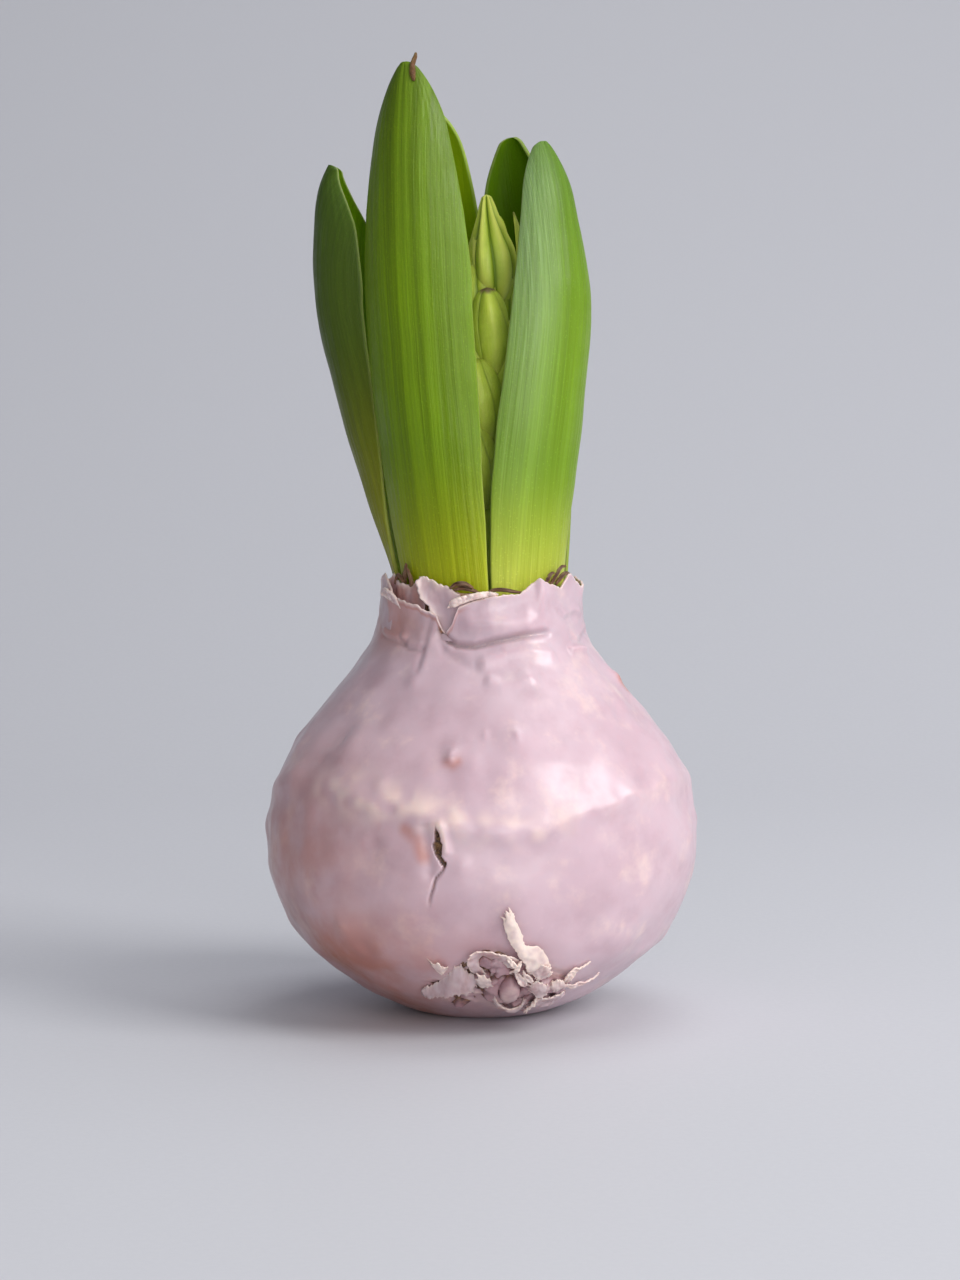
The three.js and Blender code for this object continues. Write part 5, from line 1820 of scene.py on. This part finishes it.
@dataclass
class Leaf:
    """One leaf: a thick blade bent into a channel, standing in the neck.

    Attributes:
        name: name of the solid it stands in for.
        keel: points down the middle of its outer face, evenly spaced in the share along.
        section: azimuth it faces, width, and half angle of its channel at the same shares.
        taper_from: share at which it starts to taper.
        tip_power: how blunt its tip is.
        seed: number that fixes its waves.
        blunt: width in millimetres that its tip keeps almost to the end.
        nod: how far the last tenth bends inwards in millimetres.
        sliver: x, y, z and width along a dried scrap on its tip, if any.
        size: rows along and corners round its section.
    """

    name: str
    keel: Stations
    section: Stations
    taper_from: float
    tip_power: float
    seed: int
    blunt: float = 3.0
    nod: float = 0.4
    sliver: Stations = ()
    size: tuple[int, int] = (184, 124)

    def shell(self) -> Shell:
        """Builds the blade.

        The blade's width is multiplied by a power of one less the taper squared. Its outer face is an arc
        about a line inside the keel, its inner face lies a thickness further in, and its margins are round.

        Returns:
            The closed surface.
        """
        noise = Noise(self.seed)
        rows, count = self.size
        share = 0.9995 * (1 - (1 - np.arange(rows) / rows) ** 1.35)
        keel = read_curve(self.keel, share)
        azimuth, width, half_angle = read_curve(self.section, share).T
        taper = np.maximum(share - self.taper_from, 0) / (1 - self.taper_from)
        width = width * (1 - taper**2) ** self.tip_power
        last = np.clip((share - 0.985) / 0.015, 0, 1)
        width = np.sqrt(width**2 + self.blunt**2 * (1 - last**2) * smooth_step(share, 0.5, 0.9))
        width = width * (1 + 0.012 * noise.at(points_at(share * 100, 0, 0), 8))
        radius = np.maximum(width / 2 / np.radians(half_angle), 1.4)
        along = unit(np.gradient(keel, axis=0))
        facing = outward(azimuth)
        facing = unit(facing - np.sum(facing * along, axis=1, keepdims=True) * along)
        bent = np.clip((share - 0.88) / 0.12, 0, 1) ** 3 - 0.3
        keel = keel - facing * (self.nod * bent)[:, None]
        sideways = np.cross(along, facing)
        across, inner = blade_section(count)
        width, radius, share, taper = (values[:, None] for values in (width, radius, share, taper))
        middle = 1.5 * (1 + 0.9 * (1 - share) ** 3)
        thickness = 0.65 + (middle - 0.65) * (1 - across**2) * (1 - taper**3)
        from_margin = (1 - np.abs(across)) * width / 2
        missing = np.clip(1 - from_margin / (thickness / 2), 0, 1)
        opening = np.sqrt(1 - missing**2)
        depth = thickness / 2 * np.where(inner, 1 + opening, 1 - opening)
        ribs = 0.5 + 0.5 * np.cos(2 * np.pi * 8 * across + 2 * np.sin(5 * share))
        fade = smooth_step(from_margin, 0.4, 2.0)
        groove = 0.06 * ribs * fade
        crease = 0.16 * bell(across, 0.05) * smooth_step(share, 0.1, 0.4) * fade
        depth = depth + np.where(inner, -0.5 * groove, groove + crease)
        angle = across * width / 2 / radius
        reach = radius - depth
        places = keel[:, None] + sideways[:, None] * (across * width / 2)[..., None]
        wave = 0.3 * noise.at(places, 15) + 0.1 * noise.at(places + 50, 6)
        wave = wave + 0.14 * np.abs(across) ** 3 * noise.at(places + 90, 12)
        swing = reach * np.cos(angle) - radius + wave * smooth_step(share, 0.15, 0.45)
        points = keel[:, None] + facing[:, None] * swing[..., None]
        points = points + sideways[:, None] * (reach * np.sin(angle))[..., None]
        shades = {
            "across": across * width / 20, "along": share, "margin": bell(from_margin, 0.2), "dry": 0.0,
            "inner": inner * smooth_step(from_margin, 0, 0.5),
        }
        return ring_shell(points, shades, last=keel[-1] - facing[-1] * 0.3)

    def dried_scrap(self) -> Shell:
        """Builds the dried scrap on the tip: a ribbon rolled into a gutter and crumpled.

        Returns:
            The closed surface.
        """
        noise = Noise(self.seed + 40)
        share, across = np.linspace(0, 1, 90), np.linspace(-1, 1, 26)
        x, y, z, width = read_curve(self.sliver, share).T
        line = points_at(x, y, z)
        front = np.broadcast_to(outward(np.array(20.0)), line.shape)
        bend = 1.9 * across * (1 + 0.3 * noise.at(line * 3, 2)[:, None])
        middle = rolled_strip(line, front, width[:, None] / 2, bend)
        middle = middle + front[:, None] * (0.13 * noise.layered(middle, 0.9, 3))[..., None]
        inwards = 1 - np.abs(across)
        shades = {
            "across": across * 2, "along": share[:, None], "margin": 0.7 * np.exp(-inwards / 0.14),
            "dry": 1 - 0.65 * np.exp(-inwards / 0.16), "inner": 0.0,
        }
        return sheet_shell(middle, 0.16, shades)

    def build(self, material: bpy.types.Material) -> None:
        """Builds the leaf's piece."""
        shells = [self.shell()] + ([self.dried_scrap()] if self.sliver else [])
        make_piece(self.name + "_blade", shells, material, self.name)


LEAVES = (
    Leaf(
        "leaf_front_left",
        ((-7, -11.2, 54.4), (-7.5, -11.6, 68), (-9.5, -12.1, 84), (-11.5, -12.2, 104),
         (-12.8, -11.2, 124), (-12.8, -8.9, 142), (-12.3, -6.3, 151.9)),
        ((-36, 17, 39), (-36, 18.4, 41), (-33, 20.6, 45), (-29, 22.5, 52), (-27, 22.8, 59), (-25, 20, 65),
         (-24, 20, 68)),
        taper_from=0.6, tip_power=0.62, seed=101, blunt=3.4, nod=0.5,
        sliver=((-10.7, -7.9, 148.6, 0.3), (-10.8, -7.6, 149.8, 0.85), (-10.8, -7, 151.2, 0.75),
                (-10.5, -6.1, 152.4, 0.55), (-10.4, -5.7, 153.2, 0.2))),
    Leaf(
        "leaf_front_right",
        ((8.5, -9.1, 54.4), (9, -9.5, 68), (10, -10.2, 82), (11.9, -10.4, 98), (13.3, -9.6, 114),
         (12, -7.4, 130), (9.9, -4.9, 139.6)),
        ((44, 15, 36), (43, 17.2, 39), (40, 19, 45), (37, 19.6, 52), (35, 18.6, 56), (34, 16.2, 60),
         (33, 19, 64)),
        taper_from=0.6, tip_power=0.66, seed=102, blunt=3.6, nod=0.6),
    Leaf(
        "leaf_left",
        ((-12.6, 4.2, 54.4), (-13.2, 4.3, 68), (-18.2, 5.8, 82), (-22.9, 7, 98), (-26.7, 8, 113),
         (-27, 8.4, 127), (-25.2, 8.4, 136.5)),
        ((-107, 10, 24), (-107, 11.5, 30), (-103, 19.5, 62), (-100, 25, 82), (-98, 28.5, 93),
         (-98, 28.5, 96), (-98, 28, 92)),
        taper_from=0.68, tip_power=0.86, seed=103, blunt=6.8, nod=0.8),
    Leaf(
        "leaf_back_left",
        ((-3.9, 12.7, 54.4), (-4.1, 13.1, 68), (-6, 14.6, 86), (-7.4, 15.6, 106), (-8.8, 15.4, 124),
         (-9.6, 13.2, 140), (-10, 10.8, 147.2)),
        ((-162, 12.8, 29), (-162, 13.6, 31), (-161, 16.6, 42), (-162, 18.6, 50), (-163, 19.6, 56),
         (-163, 19.6, 60), (-163, 19, 62)),
        taper_from=0.58, tip_power=0.8, seed=104),
    Leaf(
        "leaf_back_right",
        ((10.5, 7.7, 54.4), (11.2, 8, 68), (11.6, 9.4, 84), (10.6, 10.9, 102), (8.8, 11.4, 118),
         (6.9, 11, 131), (5.1, 9.8, 141)),
        ((125, 15, 33), (126, 16, 36), (133, 16.4, 43), (141, 16.8, 50), (148, 18.4, 58), (153, 18.4, 64),
         (155, 18.4, 66)),
        taper_from=0.6, tip_power=0.62, seed=105, blunt=4.4, nod=0.4),
)
# Each leaf: foot, middle and tip colours, then the strength and side of its glaucous film with painted
# sheen, then its stripes of tone and painted light and shade.
LEAF_FINISHES = {
    "leaf_front_left": LeafFinish(
        "leaf front left", srgb(178, 182, 14), srgb(106, 137, 0), srgb(88, 114, 4), 0.03, 1.0,
        ((-0.55, 0.22, -0.4), (-0.2, 0.16, -1.0), (0.08, 0.17, 1.0), (0.24, 0.06, -0.8), (0.42, 0.14, 0.8),
         (0.8, 0.2, -0.25))),
    "leaf_front_right": LeafFinish(
        "leaf front right", srgb(204, 210, 84), srgb(114, 148, 32), srgb(94, 128, 42), 0.34, -1.0,
        ((-0.35, 0.16, 0.4), (0.1, 0.2, -0.5), (0.5, 0.16, -0.3))),
    "leaf_left": LeafFinish(
        "leaf left", srgb(158, 158, 44), srgb(72, 92, 4), srgb(66, 92, 4), 0.04, gloss=0.16,
        foot_reach=0.62),
    "leaf_back_left": LeafFinish(
        "leaf back left", srgb(150, 165, 20), srgb(112, 142, 0), srgb(102, 134, 0), 0.0, gloss=0.08,
        inner_face_and_glow=srgb(134, 160, 10)),
    "leaf_back_right": LeafFinish(
        "leaf back right", srgb(140, 160, 20), srgb(74, 106, 0), srgb(72, 108, 0), 0.0, gloss=0.1,
        inner_face_and_glow=srgb(86, 120, 0)),
}


# The flower spike

# Half a bud's width, as a share of its widest, at shares of its length from the foot.
PEAR = (
    (0, 0.35), (0.12, 0.7), (0.25, 0.94), (0.36, 1), (0.5, 0.92), (0.66, 0.66), (0.8, 0.42), (0.91, 0.27),
    (1, 0.14),
)
OVAL = (
    (0, 0.35), (0.14, 0.7), (0.3, 0.93), (0.48, 1), (0.66, 0.96), (0.8, 0.8), (0.9, 0.6), (0.97, 0.36),
    (1, 0.12),
)


@dataclass(frozen=True)
class BudPlan:
    """The lines and sizes of a closed bud.

    Attributes:
        apex: its tip.
        foot: its foot.
        width: millimetres at its widest.
        seams: azimuths of the grooves between its tepals.
        outline: half its width at shares of its length, from the foot, as shares of the widest.
        brown: how brown its tip is.
        relief: how strongly its keels and grooves stand out.
    """

    apex: tuple[float, float, float]
    foot: tuple[float, float, float]
    width: float
    seams: tuple[float, ...]
    outline: Stations
    brown: float
    relief: float = 1.0


FRONT_BUDS = {
    0: BudPlan((0.65, -1.2, 131.2), (2.2, -0.6, 113), 7.5, (0, 62, 122, 184, 240, 298), PEAR, 0.1, 1.4),
    8: BudPlan((0.75, -4.6, 116.4), (2, -2.6, 101.4), 6.3, (-44, 62, 165), OVAL, 0.9, 0.5),
    16: BudPlan((-0.7, -5.2, 105.2), (0.9, -3.0, 91), 6.2, (-62, 34, 150), OVAL, 0.15, 0.5),
    24: BudPlan((-1.2, -5.7, 94.6), (0, -3.6, 81), 6.0, (-50, 40, 160), OVAL, 0.15, 0.5),
}


# Bracts: x, y, z and width along each, the azimuth that it faces, and its seed.
BRACTS = (
    (((6.2, -1.2, 118, 1.4), (6.2, -1.4, 122, 1.3), (5.7, -1.6, 125.6, 0.9), (5, -1.7, 128.4, 0.2)), 20,
     301),
    (((-2.4, -3.6, 108, 1.4), (-3.2, -4.2, 112, 1.5), (-3.6, -4.4, 115, 1), (-3.6, -4.3, 117.4, 0.3)),
     -30, 302),
    (((5, -4, 96, 1.4), (5.9, -4.6, 100, 1.6), (6.3, -4.8, 103, 1), (6.4, -4.7, 105.4, 0.3)), 30, 303),
)


@dataclass
class FlowerSpike:
    """The scape and its closed buds.

    Attributes:
        material: finish.
        buds: how many buds.
        centre: where the scape stands.
        front_size: rows and columns of a front bud.
        other_size: rows and columns of any other.
    """

    material: bpy.types.Material
    buds: int = 27
    centre: tuple[float, float] = (1.2, 0.4)
    front_size: tuple[int, int] = (72, 96)
    other_size: tuple[int, int] = (28, 36)

    def scape(self) -> Shell:
        """Builds the fleshy stem: radius from 3.4 mm at its foot to 1.6 mm at its top, with shallow ribs.

        Returns:
            The closed surface.
        """
        noise = Noise(201)
        height, turn = np.meshgrid(np.linspace(54.6, 118, 90), np.arange(48) * 7.5, indexing="ij")
        share = (height - 54.6) / 63.4
        radius = 3.4 - 1.8 * share + 0.05 * np.cos(np.radians(8 * turn))
        radius = radius + 0.06 * noise.at(around_axis(turn, 3, height), 4)
        points = around_axis(turn, radius, height) + (*self.centre, 0)
        across = np.cos(np.radians(turn))
        shades = {"across": across, "along": share, "keel": 0.0, "groove": 0.0, "dry": 0.0}
        return ring_shell(points, shades)

    def spiral_bud(self, number: int) -> BudPlan:
        """Places a bud in the spiral, each 135 degrees on, lower, further out and shorter than the last.

        Args:
            number: place in the spiral, 0 at the top.

        Returns:
            The bud's lines and sizes.
        """
        side = outward(np.array(4 + 135.0 * number))
        stand = min(0.9 + 0.066 * number**2, 5.1)
        top = np.array([*self.centre, 130.4 - 1.98 * number + 0.0225 * number**2]) + side * stand
        lean = math.radians(9 * stand / 5.1)
        share = number / (self.buds - 1)
        axis = side * math.sin(lean) + np.array([0, 0, math.cos(lean)])
        start = np.random.default_rng(400 + number).uniform(0, 120)
        seams = (start, start + 120, start + 240)
        brown = 0.85 if number % 3 == 1 else 0.25
        foot = tuple(top - axis * (15.4 - 5 * share))
        return BudPlan(tuple(top), foot, 6.2 - share, seams, OVAL, brown)

    def bud(self, number: int) -> Shell:
        """Builds one closed bud of tepals whose edges meet in grooves and whose keels stand up.

        The front buds have their own places and outlines. The others stand in a spiral.

        Args:
            number: place in the spiral, 0 at the top.

        Returns:
            The closed surface.
        """
        noise = Noise(210 + number)
        plan = FRONT_BUDS.get(number) or self.spiral_bud(number)
        rows, columns = self.front_size if number in FRONT_BUDS else self.other_size
        apex, foot = np.array(plan.apex), np.array(plan.foot)
        length = float(np.linalg.norm(apex - foot))
        axis = (apex - foot) / length
        u = (0.006 + 0.988 * (1 - (1 - np.arange(rows) / (rows - 1)) ** 1.3))[:, None]
        count, relief = len(plan.seams), plan.relief
        q = (np.arange(columns) * count / columns)[None]
        phase = q - 0.72 * np.sin(2 * np.pi * q) / (2 * np.pi)
        swirl = 6 * np.sin(np.pi * u * 1.5)
        turn = np.radians(np.interp(phase, range(count + 1), [*plan.seams, plan.seams[0] + 360]) + swirl)
        inside = phase % 1
        near_edge = np.minimum(inside, 1 - inside)
        high = smooth_step(u, 0.55, 0.95)
        fine = count / 3
        groove = relief * bell(near_edge, 0.045 * fine)
        keel = relief * bell(inside - 0.5, (0.06 + 0.05 * high) * fine)
        step = 0.07 * (inside - 0.5) * (1 - groove)
        lobe = (0.05 + 0.13 * high) * (0.6 + 0.4 * relief)
        swell = 1 + lobe * np.cos(2 * np.pi * (inside - 0.5)) + step - (0.06 + 0.1 * high) * groove
        swell = swell + 0.06 * keel * smooth_step(u, 0.2, 0.6) * (1 - 0.4 * high)
        outline = read_curve(plan.outline, np.linspace(0, 1, 200))
        radius = plan.width / 2 * np.interp(u, outline[:, 0], outline[:, 1])
        radius = radius * (1 - 0.6 * smooth_step(u, 0.975, 1)) * swell
        first = unit(np.array([0, -1.0, 0]) + axis * axis[1])
        second = np.cross(axis, first)
        ring = np.cos(turn)[..., None] * first + np.sin(turn)[..., None] * second
        points = foot + axis * (length * u)[..., None] + ring * radius[..., None]
        points = points + ring * (0.05 * noise.at(points, 2.6))[..., None]
        # Keels painted paler and seams darker: partly the tepals' own colour, partly painted highlight on
        # the keels and painted shade in the grooves.
        band = relief * bell(inside - 0.5, (0.09 + 0.05 * high) * fine)
        band = np.clip(band * (0.35 + 0.4 * smooth_step(u, 0.3, 0.8)), 0, 0.85)
        seam = 0.45 * relief * (bell(near_edge, 0.04 * fine) + bell(near_edge, 0.1 * fine))
        dry = plan.brown * smooth_step(u + 0.02 * noise.at(points, 1.1), 0.93, 0.985)
        shades = {
            "across": np.cos(2 * turn), "along": u, "keel": band, "groove": np.clip(seam, 0, 1), "dry": dry,
        }
        return ring_shell(points, shades, last=apex)

    def bract(self, stations: Stations, facing: float, seed: int) -> Shell:
        """Builds a thin pale bract beside a bud.

        Args:
            stations: x, y, z and width along it.
            facing: azimuth that it faces.
            seed: number that fixes its jags.

        Returns:
            The closed surface.
        """
        share, across = np.linspace(0, 1, 60), np.linspace(-1, 1, 18)
        x, y, z, width = read_curve(stations, share).T
        line = points_at(x, y, z)
        front = outward(np.full(60, float(facing)))
        sideways = unit(np.cross(unit(np.gradient(line, axis=0)), front))
        middle = line[:, None] + sideways[:, None] * (width[:, None] / 2 * across)[..., None]
        middle = middle - front[:, None] * (0.25 * width[:, None] * across**2)[..., None]
        middle = middle + front[:, None] * (0.05 * Noise(seed).at(middle, 1.5))[..., None]
        dry = 0.6 * smooth_step(share, 0.85, 1)[:, None]
        shades = {"across": across, "along": share[:, None], "keel": 0.8, "groove": 0.0, "dry": dry}
        return sheet_shell(middle, 0.24, shades)

    def build(self) -> None:
        """Builds the spike's pieces."""
        shells = [self.scape()] + [self.bud(number) for number in range(self.buds)]
        make_piece("spike_buds", shells, self.material, "flower_spike")
        bracts = [self.bract(*plan) for plan in BRACTS]
        make_piece("spike_bracts", bracts, self.material)


# The set

@dataclass
class Studio:
    """A pale floor that sweeps up behind the part, three soft lights and the camera.

    Attributes:
        target: what the camera looks at, in millimetres.
        elevation: degrees that the camera looks down.
        distance: millimetres from the camera to the target.
        lens: focal length for a frame 36 mm high.
        pale: colour of the floor and the wall.
    """

    target: tuple[float, float, float] = (-0.32, 0.0, 59.8)
    elevation: float = 5.0
    distance: float = 550.0
    lens: float = 95.75
    pale: tuple = srgb(200, 201, 207)

    def sweep(self) -> None:
        """Builds the floor and the wall behind it as one smooth sheet, joined by a quarter circle."""
        across = np.linspace(-6, 6, 80)
        bend = np.linspace(0, np.pi / 2, 40)
        y = np.concatenate([np.linspace(-6, 0.25, 40), 0.25 + 0.9 * np.sin(bend[1:]), np.full(20, 1.15)])
        z = np.concatenate([np.zeros(40), 0.9 * (1 - np.cos(bend[1:])), np.linspace(0.95, 2.4, 20)])
        grid = points_at(across, y[:, None], z[:, None])
        rows, columns = grid.shape[:2]
        number = np.arange(rows * columns).reshape(rows, columns)
        mesh = bpy.data.meshes.new("sweep")
        mesh.from_pydata(grid.reshape(-1, 3).tolist(), [], quads(number).tolist())
        mesh.polygons.foreach_set("use_smooth", np.ones(len(mesh.polygons), bool))
        material, wiring, shader = new_material("pale sweep")
        cloth = wiring.span(wiring.noise(wiring.place(), 900.0, 2), 0.3, 0.7, 0.55, 0.65)
        wiring.join(shader, {"Base Color": self.pale, "Roughness": cloth})
        mesh.materials.append(material)
        piece = bpy.data.objects.new("sweep", mesh)
        bpy.context.scene.collection.objects.link(piece)

    def light(self, name: str, place: Sequence[float], size: float, power: float, colour: Colour) -> None:
        """Adds a square soft light that faces the part.

        Args:
            name: name of the light.
            place: metres.
            size: metres across.
            power: watts.
            colour: red, green and blue.
        """
        lamp = bpy.data.lights.new(name, "AREA")
        lamp.shape = "SQUARE"
        lamp.size = size
        lamp.energy = power
        lamp.color = colour
        holder = bpy.data.objects.new(name, lamp)
        holder.location = place
        aim = np.array(self.target) * MM - np.array(place)
        flat = math.hypot(aim[0], aim[1])
        holder.rotation_euler = (math.atan2(flat, -aim[2]), 0, math.atan2(-aim[0], aim[1]))
        bpy.context.scene.collection.objects.link(holder)

    def camera(self) -> None:
        """Adds the camera, at the front and a little above."""
        lens = bpy.data.cameras.new("camera")
        lens.sensor_fit = "VERTICAL"
        lens.sensor_height = 36
        lens.lens = self.lens
        lens.clip_start, lens.clip_end = 0.05, 20
        holder = bpy.data.objects.new("camera", lens)
        rise = math.radians(self.elevation)
        x, y, z = self.target
        holder.location = (
            x * MM, (y - self.distance * math.cos(rise)) * MM, (z + self.distance * math.sin(rise)) * MM)
        holder.rotation_euler = (math.radians(90 - self.elevation), 0, 0)
        bpy.context.scene.collection.objects.link(holder)
        bpy.context.scene.camera = holder

    def build(self) -> None:
        """Sets the floor, lights, air and camera."""
        self.sweep()
        self.light("key", (0.87, -0.46, 0.7), 0.6, 9.9, (1.0, 0.99, 0.97))
        self.light("fill", (0.34, -1.1, 0.34), 0.8, 6.4, (1.0, 0.98, 0.96))
        self.light("top", (0.2, 0.2, 1.0), 0.6, 3.4, (0.98, 0.98, 1.0))
        bpy.context.scene.view_settings.view_transform = "Standard"
        world = bpy.data.worlds.new("air")
        world.use_nodes = True
        world.node_tree.nodes["Background"].inputs["Color"].default_value = srgb(214, 216, 222)
        world.node_tree.nodes["Background"].inputs["Strength"].default_value = 0.42
        bpy.context.scene.world = world
        self.camera()


def main() -> None:
    """Builds the finished part and its set."""
    logging.basicConfig(level=logging.INFO, format="%(name)s: %(message)s")
    effects = Effects()
    form = WaxForm()
    WaxCoat(form, WaxFinish().build(effects)).build()
    Bulb(form, SkinFinish().build(effects)).build()
    for leaf in LEAVES:
        leaf.build(LEAF_FINISHES[leaf.name].build(effects))
    FlowerSpike(BudFinish().build(effects)).build()
    Studio().build()


if __name__ == "__main__":
    main()
